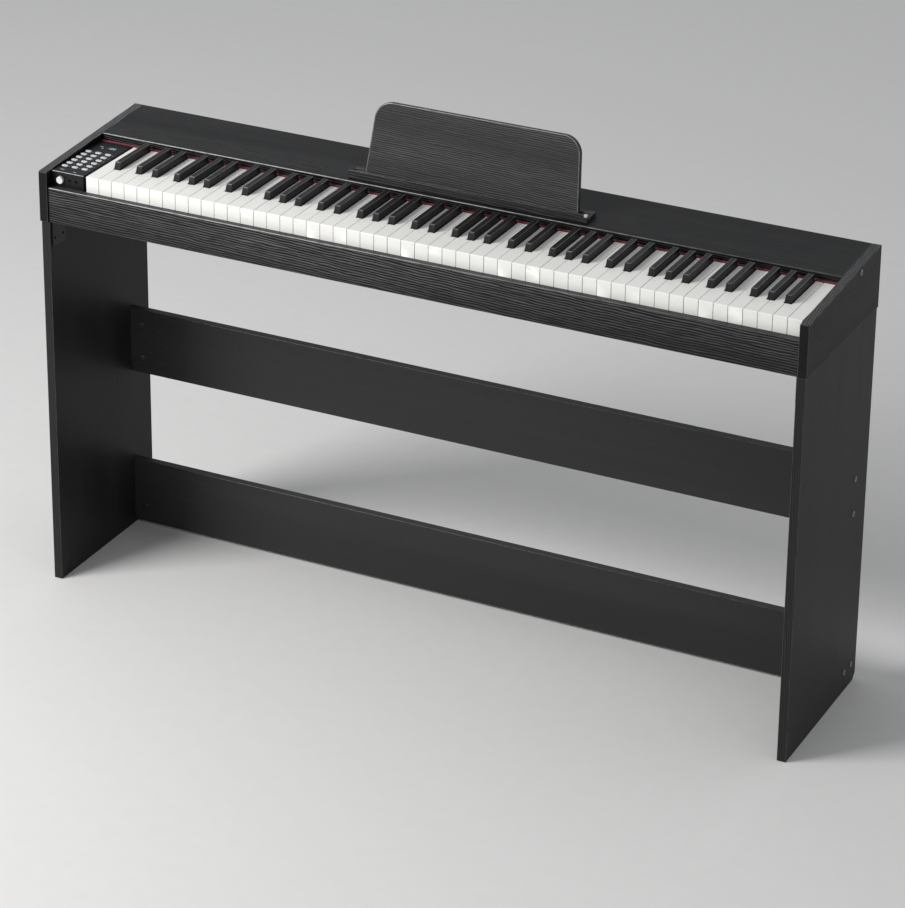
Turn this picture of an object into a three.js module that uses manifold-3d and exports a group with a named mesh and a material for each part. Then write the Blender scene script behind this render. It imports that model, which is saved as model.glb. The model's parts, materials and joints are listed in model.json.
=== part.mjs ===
// Digital piano on a board stand: a cabinet of laminated boards that holds an 88-key keybed,
// carried by two side legs and two cross rails. Millimetres, +Z up, front of the keys to -Y,
// origin on the floor under the middle of the piano.
import * as THREE from 'three';
import { mergeVertices } from 'three/addons/utils/BufferGeometryUtils.js';
import Module from 'manifold-3d';

const wasm = await Module();
wasm.setup();

// ---- driving dimensions -------------------------------------------------------------------
const boardThickness = 15;        // every laminated board of the cabinet and the stand
const cabinetDepth = 301;         // front edge of a cheek to the back
const legHeight = 646;            // floor to the underside of the cabinet
const cheekFrontRise = 86;        // height of a cheek at its front edge
const cheekBackRise = 103;        // and at its back edge
const seam = 0.2;                 // glue line or air between boards that touch
const seat = 0.3;                 // gap under a piece that only rests on its seat

const whiteCount = 52;
const whitePitch = 23.5;
const whiteGap = 1;               // air between neighbouring white keys
const keyFrontSetback = 18;       // key fronts behind the front edge of the cheeks
const keyTopRise = 84;            // key tops above the underside of the cabinet
const whiteLength = 147;          // the part of a white key in front of the felt
const whiteBodyDepth = 16;
const whiteLipDepth = 27;
const whiteLipThickness = 3;
const blackStart = 50;            // front of a black key behind the front of a white one
const blackLength = 95;
const blackWidth = 11;
const blackRise = 12;             // black key tops above the white ones
const blackSideGap = 1.25;
const blackFrontSlope = 4;

const combBarFront = 217;         // rear bars of the key combs, behind the key fronts
const combBarDepth = 12;
const combBarHeight = 6.4;
const combBarGap = 0.6;
const combLowestBar = 54;         // underside of the lowest bar above the cabinet's underside
const combArmWidth = 8;

const panelWidth = 59;            // control panel between the left cheek and the first key
const panelKeyGap = 3.5;
const panelWall = 2.5;
const panelRise = 85;
const buttonsPerRow = 6;
const buttonRows = 3;
const buttonPitch = 14.3;
const buttonRowPitch = 18.5;
const buttonLength = 11.5;
const buttonWidth = 6;
const buttonProud = 1.5;
const buttonClearance = 0.4;
const knobDiameter = 12;
const knobLength = 5;

const slipRise = 59;              // key slip: the front board under the keys
const slipThickness = 13;
const slipSetback = 3;
const feltDepth = 7;
const feltThickness = 4;
const coverStart = 155;           // front edge of the top cover behind the key fronts

const railHeight = 116;           // both cross rails
const railSetback = 46;           // rear face of the rails in front of the back of the legs
const midRailBottom = 288;
const footRailBottom = 6;
const footShelfBottom = 27.5;
const legSideInset = 1.75;
const legFrontInset = 2;
const legChamfer = 10;

const bracketSize = 44;           // leg of the L
const bracketWidth = 36;
const bracketThickness = 2;
const bracketHole = 5;
const bracketHoleInset = 6;       // holes in from the ends of an angle
const bracketHoleDrop = 30;       // and out from its corner
const bracketInset = 6;           // from the front and back edges of the legs
const boltShank = 6;
const boltHead = 10;
const boltHeadHeight = 3;
const boltHeadProud = 1;
const boltLength = 50;
const boltClearance = 0.4;
const hexSocketRadius = 2.3;      // takes a 4 mm hex key
const hexSocketDepth = 2.1;
const railBoltInset = 28;         // bolts in from the edges of the middle rail
const coverScrewBack = 195;       // cheek screws behind the key fronts
const nutRadius = 5;              // barrel nuts across the boards, which the bolts screw into
const nutLength = 13;
const nutRecess = 0.5;
const nutFromEnd = 20;

const restLength = 416;
const restBoardWidth = 372;
const restBoardHeight = 120;
const restBoardThickness = 9;
const restCorner = 30;
const restTaper = 4.5 * Math.PI / 180;  // its sides lean in towards the top
const restLean = 18 * Math.PI / 180;
const restOffset = 13;            // the music rest stands right of the middle
const ledgeSetback = 9;
const ledgeDepth = 34;
const ledgeBase = 6;
const ledgeLip = 14;
const ledgeLipThickness = 4;

const speakerRadius = 38;
const speakerDepth = 30;
const speakerOffset = 430;
const speakerBack = 75;           // speaker centre behind the key fronts
const slotWidth = 4;
const slotPitch = 9;
const slotCount = 7;
const slotMargin = 6;             // the ends of the slots stay this far inside the speaker
const coneRadius = 34;
const coneDepth = 12;
const magnetRadius = 18;
const magnetDepth = 12;

// ---- places worked out from them ----------------------------------------------------------
const keybedWidth = whiteCount * whitePitch;
const keyRightGap = 2.5;
const panelLeftGap = 0.5;
const innerWidth = panelLeftGap + panelWidth + panelKeyGap + keybedWidth + keyRightGap;
const cabinetWidth = innerWidth + 2 * boardThickness;
const innerRight = innerWidth / 2;
const front = -cabinetDepth / 2;
const back = cabinetDepth / 2;
const keyFront = front + keyFrontSetback;
const keysLeft = innerRight - keyRightGap - keybedWidth;
const keyTop = legHeight + keyTopRise;
const bottomTop = legHeight + boardThickness;
const slope = Math.atan2(cheekBackRise - cheekFrontRise, cabinetDepth);
const cheekTopAt = (y) => legHeight + cheekFrontRise + (y - front) * Math.tan(slope);
const coverDrop = boardThickness / Math.cos(slope);
const coverFront = keyFront + coverStart;
const combLevel = (level) => legHeight + combLowestBar + level * (combBarHeight + combBarGap);
const legOuter = cabinetWidth / 2 - legSideInset;
const legInner = legOuter - boardThickness;
const railBack = back - railSetback;
const railFront = railBack - boardThickness;
const railMiddle = railBack - boardThickness / 2;

// ---- colours ------------------------------------------------------------------------------
const finish = (color, roughness, metalness = 0) => new THREE.MeshStandardMaterial({
  color, roughness, metalness });
const laminate = () => finish(0x2b2b2c, 0.6);
const ivoryPlastic = () => finish(0xf2f0ea, 0.3);
const blackPlastic = () => finish(0x161617, 0.45);
const blackSteel = () => finish(0x101011, 0.5, 0.6);
const boltSteel = () => finish(0x3a3b3d, 0.35, 0.9);
const greyPlastic = () => finish(0xa9abad, 0.4);
const feltRed = () => finish(0x7c1a2b, 0.95);
const circuitGreen = () => finish(0x1f4a33, 0.6);
const silverPlastic = () => finish(0xb9bbbd, 0.3, 0.4);

// ---- solids -------------------------------------------------------------------------------
function solid(geometry) {
  const bare = geometry.clone();
  bare.deleteAttribute('normal');
  bare.deleteAttribute('uv');
  const merged = mergeVertices(bare, 1e-4);
  return new wasm.Manifold(new wasm.Mesh({
    numProp: 3,
    vertProperties: new Float32Array(merged.attributes.position.array),
    triVerts: new Uint32Array(merged.index.array),
  }));
}

function box(x0, x1, y0, y1, z0, z1) {
  const geometry = new THREE.BoxGeometry(x1 - x0, y1 - y0, z1 - z0);
  return solid(geometry.translate((x0 + x1) / 2, (y0 + y1) / 2, (z0 + z1) / 2));
}

// A side profile of [y, z] points, extruded from x0 to x1.
function profile(points, x0, x1) {
  const shape = new THREE.Shape(points.map(([y, z]) => new THREE.Vector2(y, z)));
  const geometry = new THREE.ExtrudeGeometry(shape, { depth: x1 - x0, bevelEnabled: false });
  geometry.applyMatrix4(new THREE.Matrix4().set(0, 0, 1, x0, 1, 0, 0, 0, 0, 1, 0, 0, 0, 0, 0, 1));
  return solid(geometry);
}

// A shape drawn in plan, extruded from z0 to z1.
function slab(shape, z0, z1, curveSegments = 2) {
  const geometry = new THREE.ExtrudeGeometry(shape, { depth: z1 - z0, bevelEnabled: false, curveSegments });
  return solid(geometry.translate(0, 0, z0));
}

function rodX(radius, x0, x1, y, z, sides = 12) {
  const geometry = new THREE.CylinderGeometry(radius, radius, x1 - x0, sides);
  return solid(geometry.rotateZ(Math.PI / 2).translate((x0 + x1) / 2, y, z));
}

function rodY(radius, y0, y1, x, z, sides = 12) {
  const geometry = new THREE.CylinderGeometry(radius, radius, y1 - y0, sides);
  return solid(geometry.translate(x, (y0 + y1) / 2, z));
}

function rodZ(radius, z0, z1, x, y, sides = 10) {
  const geometry = new THREE.CylinderGeometry(radius, radius, z1 - z0, sides);
  return solid(geometry.rotateX(Math.PI / 2).translate(x, y, (z0 + z1) / 2));
}

const join = (pieces) => pieces.reduce((whole, piece) => whole.add(piece));
const cut = (body, tools) => tools.reduce((rest, tool) => rest.subtract(tool), body);

const piano = new THREE.Group();

function add(name, body, material, parent = piano) {
  const { vertProperties, triVerts } = body.getMesh();
  const geometry = new THREE.BufferGeometry();
  geometry.setAttribute('position', new THREE.BufferAttribute(vertProperties, 3));
  geometry.setIndex(new THREE.BufferAttribute(triVerts, 1));
  const mesh = new THREE.Mesh(geometry, material);
  mesh.name = name;
  parent.add(mesh);
  return mesh;
}

// ---- fasteners: where they go, so that the boards get their holes ---------------------------
const footBoltHeight = footShelfBottom + boardThickness / 2;
const footShelfMiddle = (railBack + back) / 2;
const legBolts = [
  { name: 'rail_bolt_upper', y: railMiddle, z: midRailBottom + railHeight - railBoltInset, nut: 'front' },
  { name: 'rail_bolt_lower', y: railMiddle, z: midRailBottom + railBoltInset, nut: 'front' },
  { name: 'foot_bolt_front', y: railMiddle, z: footBoltHeight, nut: 'front' },
  { name: 'foot_bolt_rear', y: footShelfMiddle, z: footBoltHeight, nut: 'below' },
];
const coverScrewY = keyFront + coverScrewBack;
const coverScrewZ = cheekTopAt(coverScrewY) - coverDrop / 2;
const sides = [{ name: 'left', sign: -1 }, { name: 'right', sign: 1 }];

// Screw or bolt along X: its head stands a little proud of the face at x = face.
function boltBody(sign, face, y, z, grow = 0) {
  const outer = face + sign * boltHeadProud;
  const headEnd = outer - sign * (boltHeadHeight + grow);
  const tip = outer - sign * (boltLength + grow);
  const span = (a, b) => [Math.min(a, b), Math.max(a, b)];
  const head = rodX(boltHead / 2 + grow, ...span(outer + sign * grow, headEnd), y, z);
  const shank = rodX(boltShank / 2 + grow, ...span(outer, tip), y, z);
  return head.add(shank);
}

function bolt(sign, face, y, z) {
  const outer = face + sign * boltHeadProud;
  const ends = [outer + sign, outer - sign * hexSocketDepth].sort((a, b) => a - b);
  return boltBody(sign, face, y, z).subtract(rodX(hexSocketRadius, ...ends, y, z, 6));
}

// ---- cabinet boards -------------------------------------------------------------------------
const cheekOutline = [[front, legHeight], [back, legHeight], [back, cheekTopAt(back)],
  [front, cheekTopAt(front)]];

for (const { name, sign } of sides) {
  const faces = [sign * innerRight, sign * cabinetWidth / 2].sort((a, b) => a - b);
  const hole = boltBody(sign, sign * cabinetWidth / 2, coverScrewY, coverScrewZ, boltClearance);
  add(`${name}_cheek`, profile(cheekOutline, ...faces).subtract(hole), laminate());
  add(`${name}_cheek_screw`, bolt(sign, sign * cabinetWidth / 2, coverScrewY, coverScrewZ), boltSteel());
}

const boardEnd = innerRight - seam;

function topCover() {
  const outline = [[coverFront, cheekTopAt(coverFront)], [coverFront, cheekTopAt(coverFront) - coverDrop],
    [back, cheekTopAt(back) - coverDrop], [back, cheekTopAt(back)]];
  const holes = sides.map(({ sign }) => (
    boltBody(sign, sign * cabinetWidth / 2, coverScrewY, coverScrewZ, boltClearance)));
  return cut(profile(outline, -boardEnd, boardEnd), holes);
}
add('top_cover', topCover(), laminate());

const jackWindowRise = 34;
const jackWindow = { width: 110, height: 32, x: -innerRight / 2, z: bottomTop + jackWindowRise };
const backBoardFront = back - boardThickness;

function backBoard() {
  const topAtBack = cheekTopAt(back) - coverDrop - seam;
  const topAtFront = cheekTopAt(backBoardFront) - coverDrop - seam;
  const outline = [[backBoardFront, legHeight], [back, legHeight], [back, topAtBack],
    [backBoardFront, topAtFront]];
  const { width, height, x, z } = jackWindow;
  const window = box(x - width / 2, x + width / 2, backBoardFront - 1, back + 1,
    z - height / 2, z + height / 2);
  return profile(outline, -boardEnd, boardEnd).subtract(window);
}
add('back_board', backBoard(), laminate());

const slipFront = front + slipSetback;
const slipBack = slipFront + slipThickness;
add('key_slip', box(-boardEnd, boardEnd, slipFront, slipBack, legHeight, legHeight + slipRise), laminate());

const speakerY = keyFront + speakerBack;

function soundSlots(x) {
  const slots = [];
  for (let i = 0; i < slotCount; i += 1) {
    const offset = (i - (slotCount - 1) / 2) * slotPitch;
    const halfLength = Math.sqrt((speakerRadius - slotMargin) ** 2 - offset ** 2);
    slots.push(box(x + offset - slotWidth / 2, x + offset + slotWidth / 2,
      speakerY - halfLength, speakerY + halfLength, legHeight - 1, bottomTop + 1));
  }
  return slots;
}
const bottomFront = slipBack + seam;
const bottomBack = backBoardFront - seam;
add('bottom_board', cut(box(-boardEnd, boardEnd, bottomFront, bottomBack, legHeight, bottomTop),
  sides.flatMap(({ sign }) => soundSlots(sign * speakerOffset))), laminate());

// ---- keys: one-piece combs, three to a section of one octave ---------------------------------
const whitesPerOctave = 7;
const sectionCount = 7;
const firstOctaveWhite = 2;       // the two lowest white keys come before the first C
const blackAfter = { 0: -3, 1: 3, 3: -4, 4: 0, 5: 4 };   // shift of the black key after each white step
const whiteStep = (white) => (white - firstOctaveWhite + whitesPerOctave) % whitesPerOctave;
const whiteLeft = (white) => keysLeft + white * whitePitch;

// The black key after a white one, or null where there is none.
function blackCentre(white) {
  const isInside = white >= 0 && white < whiteCount - 1;
  const shift = isInside ? blackAfter[whiteStep(white)] : undefined;
  return shift === undefined ? null : whiteLeft(white + 1) + shift;
}

const whiteBottom = keyTop - whiteBodyDepth;
const blackTop = keyTop + blackRise;
const hangerOverlap = 2;          // how far a hanger reaches up into its key
const blackBottom = whiteBottom + 2;
const blackFront = keyFront + blackStart;
const blackBack = blackFront + blackLength;
const whiteBack = keyFront + whiteLength;
const armBack = keyFront + combBarFront + combBarDepth / 2;
const hangerDepth = 12;

function arm(x, level, from, into) {
  const z = combLevel(level);
  const left = x - combArmWidth / 2;
  const right = x + combArmWidth / 2;
  return box(left, right, from - hangerDepth, from, z, Math.max(into, z + combBarHeight))
    .add(box(left, right, from - hangerDepth, armBack, z, z + combBarHeight));
}

function whiteKey(white, level) {
  const left = whiteLeft(white) + whiteGap / 2;
  const right = left + whitePitch - whiteGap;
  const body = box(left, right, keyFront, whiteBack, whiteBottom, keyTop)
    .add(box(left, right, keyFront, keyFront + whiteLipThickness, keyTop - whiteLipDepth, keyTop));
  const neighbours = [blackCentre(white - 1), blackCentre(white)].filter((x) => x !== null);
  const half = blackWidth / 2 + blackSideGap;
  const notches = neighbours.map((x) => (
    box(x - half, x + half, blackFront - blackSideGap, whiteBack + 1, whiteBottom - 1, keyTop + 1)));
  const middle = left + whitePitch / 2;
  const tailLeft = Math.max(left, ...neighbours.filter((x) => x < middle).map((x) => x + half));
  const tailRight = Math.min(right, ...neighbours.filter((x) => x > middle).map((x) => x - half));
  const tail = (tailLeft + tailRight) / 2;
  return { body: cut(body, notches).add(arm(tail, level, whiteBack, whiteBottom + hangerOverlap)), x: tail };
}

function blackKey(white, level) {
  const x = blackCentre(white);
  const side = [[blackFront, blackBottom], [blackBack, blackBottom], [blackBack, blackTop],
    [blackFront + blackFrontSlope, blackTop], [blackFront, keyTop]];
  const body = profile(side, x - blackWidth / 2, x + blackWidth / 2);
  return { body: body.add(arm(x, level, blackBack, blackBottom + hangerOverlap)), x };
}

function comb(keys, level) {
  const xs = keys.map((key) => key.x);
  const z = combLevel(level);
  const barFront = keyFront + combBarFront;
  const bar = box(Math.min(...xs) - combArmWidth / 2, Math.max(...xs) + combArmWidth / 2,
    barFront, barFront + combBarDepth, z, z + combBarHeight);
  return join([bar, ...keys.map((key) => key.body)]);
}

const outerSteps = [0, 2, 4, 6];  // C, E, G and B share a comb, and D, F and A another
for (let section = 0; section < sectionCount; section += 1) {
  const start = section === 0 ? 0 : firstOctaveWhite + section * whitesPerOctave;
  const isLast = section === sectionCount - 1;
  const end = isLast ? whiteCount : firstOctaveWhite + (section + 1) * whitesPerOctave;
  const whites = Array.from({ length: end - start }, (_, i) => start + i);
  const isOuter = (white) => outerSteps.includes(whiteStep(white));
  const label = section + 1;
  const outer = whites.filter(isOuter).map((white) => whiteKey(white, 2));
  add(`white_keys_outer_${label}`, comb(outer, 2), ivoryPlastic());
  const inner = whites.filter((white) => !isOuter(white)).map((white) => whiteKey(white, 1));
  add(`white_keys_inner_${label}`, comb(inner, 1), ivoryPlastic());
  const sharps = whites.filter((white) => blackCentre(white) !== null);
  add(`black_keys_${label}`, comb(sharps.map((white) => blackKey(white, 0)), 0), blackPlastic());
}

// ---- keybed frame, contact board, felt and speakers ------------------------------------------
const frameBase = 3;
const frameMargin = 3;
const frameFront = keyFront + whiteLipThickness + 2;
const frameBack = keyFront + combBarFront + combBarDepth + frameMargin;
const railDepth = 6;
const keyTravelRoom = 11;         // below the white keys, so that a pressed key clears the stop rail
const contactRailBack = 104;      // rail under the contact board, behind the key fronts
const contactRailDrop = 4;        // below the lowest bars
const stopRail = { front: frameFront + frameMargin, depth: railDepth, top: whiteBottom - keyTravelRoom };
const contactRail = { front: keyFront + contactRailBack, depth: railDepth,
  top: combLevel(0) - contactRailDrop };
const hingeRail = { front: keyFront + combBarFront, depth: combBarDepth, top: combLevel(0) - combBarGap };
const speakerRoom = 4;            // air around a speaker in the key frame

function keyFrame() {
  const left = keysLeft;
  const right = keysLeft + keybedWidth;
  const low = bottomTop + seam;
  const rails = [stopRail, contactRail, hingeRail].map((rail) => (
    box(left, right, rail.front, rail.front + rail.depth, low, rail.top)));
  const windows = sides.map(({ sign }) => {
    const reach = speakerRadius + speakerRoom;
    const x = sign * speakerOffset;
    return box(x - reach, x + reach, speakerY - reach, speakerY + reach, low - 1, contactRail.top + 1);
  });
  const base = box(left, right, frameFront, frameBack, low, low + frameBase);
  return cut(join([base, ...rails]), windows);
}
add('key_frame', keyFrame(), blackPlastic());

const boardThin = 1.6;            // circuit boards
const contactBoard = { front: contactRail.front - 12, depth: 34, endGap: 2, bottom: contactRail.top + seat };
add('key_contact_board', box(keysLeft + contactBoard.endGap, keysLeft + keybedWidth - contactBoard.endGap,
  contactBoard.front, contactBoard.front + contactBoard.depth,
  contactBoard.bottom, contactBoard.bottom + boardThin), circuitGreen());

const feltBack = coverFront - seam;
const feltFront = feltBack - feltDepth;
const feltBottom = cheekTopAt(coverFront) - coverDrop + seat;
add('key_felt', box(-boardEnd, boardEnd, feltFront, feltBack, feltBottom, feltBottom + feltThickness),
  feltRed());

function speaker() {
  const rim = 3;
  const domeRadius = 12;
  const domeRise = 3;
  const basket = speakerDepth - magnetDepth;
  const points = [[0, coneDepth - domeRise], [domeRadius, coneDepth], [coneRadius, 0], [speakerRadius, 0],
    [speakerRadius, rim], [speakerRadius - rim, rim + 1], [magnetRadius + 4, basket], [magnetRadius, basket],
    [magnetRadius, speakerDepth], [0, speakerDepth]];
  const geometry = new THREE.LatheGeometry(points.map(([r, h]) => new THREE.Vector2(r, h)), 20);
  return solid(geometry.rotateX(Math.PI / 2));
}
for (const { name, sign } of sides) {
  const mesh = add(`${name}_speaker`, speaker(), blackSteel());
  mesh.position.set(sign * speakerOffset, speakerY, bottomTop + seam);
}

// ---- control panel ---------------------------------------------------------------------------
const panelLeft = -innerRight + panelLeftGap;
const panelRight = panelLeft + panelWidth;
const panelFront = slipBack;
const panelBack = feltFront - panelLeftGap;
const panelTop = legHeight + panelRise;
const panelCeiling = panelTop - panelWall;
const buttonShift = -2;           // the middle row stands a little left of the panel's middle
const firstButton = 24;           // behind the key fronts
const rowX = (row) => panelLeft + panelWidth / 2 + (row - 1) * buttonRowPitch + buttonShift;
const buttonY = (index) => keyFront + firstButton + index * buttonPitch;
const knobInset = 17;
const knobDrop = 13;
const knobX = panelLeft + knobInset;
const knobZ = panelTop - knobDrop;
const jackXs = [knobX + 16, knobX + 28];
const jackHoleRadius = 2;
const boardTop = knobZ - 0.4;

function pill(x, y, grow = 0) {
  const radius = buttonWidth / 2 + grow;
  const straight = (buttonLength - buttonWidth) / 2;
  const shape = new THREE.Shape();
  shape.moveTo(x - straight, y - radius);
  shape.lineTo(x + straight, y - radius);
  shape.absarc(x + straight, y, radius, -Math.PI / 2, Math.PI / 2, false);
  shape.lineTo(x - straight, y + radius);
  shape.absarc(x - straight, y, radius, Math.PI / 2, Math.PI * 1.5, false);
  return shape;
}

function eachButton(make) {
  const made = [];
  for (let row = 0; row < buttonRows; row += 1) {
    for (let i = 0; i < buttonsPerRow; i += 1) {
      made.push(make(rowX(row), buttonY(i)));
    }
  }
  return made;
}

const postRadius = 2.2;
const boardMargin = 4.5;
const boardFront = keyFront + 14;
const boardLength = 122;
const boardBox = { x0: panelLeft + boardMargin, x1: panelRight - boardMargin,
  y0: boardFront, y1: boardFront + boardLength };
const postInset = 3;
const postSpots = [boardBox.x0 + postInset, boardBox.x1 - postInset].flatMap((x) => (
  [boardBox.y0 + postInset, boardBox.y1 - postInset - 2].map((y) => [x, y])));

const shaftRadius = 1.5;

function panelHousing() {
  const shell = box(panelLeft, panelRight, panelFront, panelBack, bottomTop + seam, panelTop);
  const hollow = box(panelLeft + panelWall, panelRight - panelWall, panelFront + panelWall,
    panelBack - panelWall, bottomTop - 1, panelCeiling);
  const holes = eachButton((x, y) => slab(pill(x, y, buttonClearance), panelCeiling - 1, panelTop + 1));
  const frontHole = (radius, x) => rodY(radius, panelFront - 1, panelFront + panelWall + 1, x, knobZ);
  const frontHoles = [frontHole(shaftRadius + 0.5, knobX),
    ...jackXs.map((x) => frontHole(jackHoleRadius, x))];
  const posts = postSpots.map(([x, y]) => rodZ(postRadius, boardTop + seat, panelCeiling + 1, x, y));
  return join([cut(shell, [hollow, ...holes, ...frontHoles]), ...posts]);
}
add('panel_housing', panelHousing(), blackPlastic());

const carrierTop = panelCeiling - 0.6;
const carrierThickness = 2.4;
const carrierHalf = 4;
for (let row = 0; row < buttonRows; row += 1) {
  const x = rowX(row);
  const pieces = [box(x - carrierHalf, x + carrierHalf, buttonY(0) - carrierHalf,
    buttonY(buttonsPerRow - 1) + carrierHalf, carrierTop - carrierThickness, carrierTop)];
  for (let i = 0; i < buttonsPerRow; i += 1) {
    pieces.push(slab(pill(x, buttonY(i)), carrierTop - 1, panelTop + buttonProud));
  }
  add(`button_row_${row + 1}`, join(pieces), greyPlastic());
}

const knobGap = 0.4;
const potFront = panelFront + 8;
const knobFront = panelFront - knobGap - knobLength;
add('volume_knob', join([rodY(knobDiameter / 2, knobFront, panelFront - knobGap, knobX, knobZ, 24),
  rodY(shaftRadius, panelFront - knobGap - 1, potFront - seat, knobX, knobZ)]), silverPlastic());

function mainBoard() {
  const potHalf = 5.5;
  const jackHalf = 4;
  const partsBottom = boardTop - boardThin - 4;
  const plate = box(boardBox.x0, boardBox.x1, boardBox.y0, boardBox.y1, boardTop - boardThin, boardTop);
  const pot = box(knobX - potHalf, knobX + potHalf, potFront, boardBox.y0 + 6, partsBottom, knobZ + 5);
  const jackFront = panelFront + panelWall + seat;
  const jacks = jackXs.map((x) => (
    box(x - jackHalf, x + jackHalf, jackFront, boardBox.y0 + 4, partsBottom, knobZ + jackHalf)
      .subtract(rodY(jackHoleRadius, panelFront, boardBox.y0, x, knobZ))));
  return join([plate, pot, ...jacks]);
}
add('main_board', mainBoard(), circuitGreen());

// ---- rear socket plate -----------------------------------------------------------------------
const roundSockets = [{ offset: -38, radius: 5 }, { offset: -8, radius: 5.5 }];   // power inlet, pedal jack
const dataSocket = { offset: 28, width: 12, height: 11 };
const socketBody = { inside: 14, proud: 3 };
const socketBore = { radius: 1.9, depth: 10, halfWidth: 4 };
const plateLap = { ends: 10, edges: 8 };          // how far the plate reaches past its window

function jackPlate() {
  const { width, height, x, z } = jackWindow;
  const plateBack = backBoardFront - seam;
  const inner = plateBack - socketBody.inside;
  const outer = plateBack + socketBody.proud;
  const borePlane = plateBack - socketBore.depth;
  const plate = box(x - width / 2 - plateLap.ends, x + width / 2 + plateLap.ends, plateBack - 2, plateBack,
    z - height / 2 - plateLap.edges, z + height / 2 + plateLap.edges);
  const round = roundSockets.map(({ offset, radius }) => rodY(radius, inner, outer, x + offset, z));
  const bores = roundSockets.map(({ offset }) => (
    rodY(socketBore.radius, borePlane, outer + 1, x + offset, z)));
  const dataX = x + dataSocket.offset;
  const dataBody = box(dataX - dataSocket.width / 2, dataX + dataSocket.width / 2, inner, outer - 1,
    z - dataSocket.height / 2, z + dataSocket.height / 2);
  const dataSlot = box(dataX - socketBore.halfWidth, dataX + socketBore.halfWidth, borePlane, outer,
    z - socketBore.radius, z + socketBore.radius);
  return cut(join([plate, ...round, dataBody]), [...bores, dataSlot]);
}
add('rear_jack_plate', jackPlate(), blackPlastic());

// ---- stand -----------------------------------------------------------------------------------
const legTop = legHeight - seam;
const legFront = front + legFrontInset;
const legOutline = [[legFront, 0], [back - legChamfer, 0], [back, legChamfer], [back, legTop],
  [legFront, legTop]];
const railEnd = legInner - seam;
const boltHoles = (sign) => legBolts.map(({ y, z }) => boltBody(sign, sign * legOuter, y, z, boltClearance));

// Barrel nut of a leg bolt: in from the front face of a rail, or up from the underside of the shelf.
function barrelNut(sign, { y, z, nut }, grow = 0) {
  const x = sign * (railEnd - nutFromEnd);
  const mouth = nutRecess - (grow > 0 ? nutRecess + 1 : 0);
  const end = nutRecess + nutLength + grow;
  return nut === 'front'
    ? rodY(nutRadius + grow, railFront + mouth, railFront + end, x, z)
    : rodZ(nutRadius + grow, footShelfBottom + mouth, footShelfBottom + end, x, y, 12);
}
const nutHoles = (sign) => legBolts.map((place) => barrelNut(sign, place, boltClearance));

for (const { name, sign } of sides) {
  const faces = [sign * legInner, sign * legOuter].sort((a, b) => a - b);
  add(`${name}_leg`, cut(profile(legOutline, ...faces), boltHoles(sign)), laminate());
  for (const place of legBolts) {
    const screwed = bolt(sign, sign * legOuter, place.y, place.z).add(barrelNut(sign, place));
    add(`${name}_${place.name}`, screwed, boltSteel());
  }
}

const allBoltHoles = sides.flatMap(({ sign }) => [...boltHoles(sign), ...nutHoles(sign)]);
const rail = (bottom) => box(-railEnd, railEnd, railFront, railBack, bottom, bottom + railHeight);
add('mid_rail', cut(rail(midRailBottom), allBoltHoles), laminate());
add('foot_rail', cut(rail(footRailBottom), allBoltHoles), laminate());
add('foot_shelf', cut(box(-railEnd, railEnd, railBack + seam, back - legChamfer / 2, footShelfBottom,
  footShelfBottom + boardThickness), allBoltHoles), laminate());

// Steel angles between the legs and the underside of the cabinet.
function bracket(sign) {
  const leg = legInner - seat;
  const top = legHeight - seat;
  const outline = [[leg, top - bracketSize], [leg, top], [leg - bracketSize, top],
    [leg - bracketSize, top - bracketThickness], [leg - bracketThickness, top - bracketThickness],
    [leg - bracketThickness, top - bracketSize]];
  const shape = new THREE.Shape(outline.map(([x, z]) => new THREE.Vector2(sign * x, z)));
  const geometry = new THREE.ExtrudeGeometry(shape, { depth: bracketWidth, bevelEnabled: false });
  const angle = solid(geometry.rotateX(Math.PI / 2).translate(0, bracketWidth, 0));
  const spots = [bracketHoleInset, bracketWidth - bracketHoleInset];
  const through = [leg - bracketThickness - 1, leg + 1].map((x) => sign * x).sort((a, b) => a - b);
  const across = spots.map((y) => rodX(bracketHole / 2, ...through, y, top - bracketHoleDrop));
  const down = spots.map((y) => (
    rodZ(bracketHole / 2, top - bracketThickness - 1, top + 1, sign * (leg - bracketHoleDrop), y)));
  return cut(angle, [...across, ...down]);
}
const bracketPlaces = [
  { end: 'front', y: legFront + bracketInset },
  { end: 'rear', y: back - bracketInset - bracketWidth },
];
for (const { name, sign } of sides) {
  for (const { end, y } of bracketPlaces) {
    add(`${name}_${end}_bracket`, bracket(sign), blackSteel()).position.y = y;
  }
}

// ---- music rest ------------------------------------------------------------------------------
const rest = new THREE.Group();
rest.position.set(restOffset, coverFront + ledgeSetback, cheekTopAt(coverFront + ledgeSetback) + seat);
rest.rotation.x = slope;
piano.add(rest);

const boardFoot = 15;             // where the board stands on the ledge
const grooveFloor = 3;
const heelTop = ledgeBase + 1;
const leanOnCover = restLean - slope;

function ledge() {
  const lean = Math.tan(leanOnCover);
  const wide = restBoardThickness / Math.cos(leanOnCover) + 2 * seat;
  const points = [[0, 0], [ledgeDepth, 0], [ledgeDepth, heelTop],
    [boardFoot + wide + (heelTop - grooveFloor) * lean, heelTop], [boardFoot + wide, grooveFloor],
    [boardFoot, grooveFloor], [boardFoot + (ledgeBase - grooveFloor) * lean, ledgeBase],
    [ledgeLipThickness, ledgeBase], [ledgeLipThickness, ledgeLip], [0, ledgeLip]];
  return profile(points, -restLength / 2, restLength / 2);
}
add('music_rest_ledge', ledge(), laminate(), rest);

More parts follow.
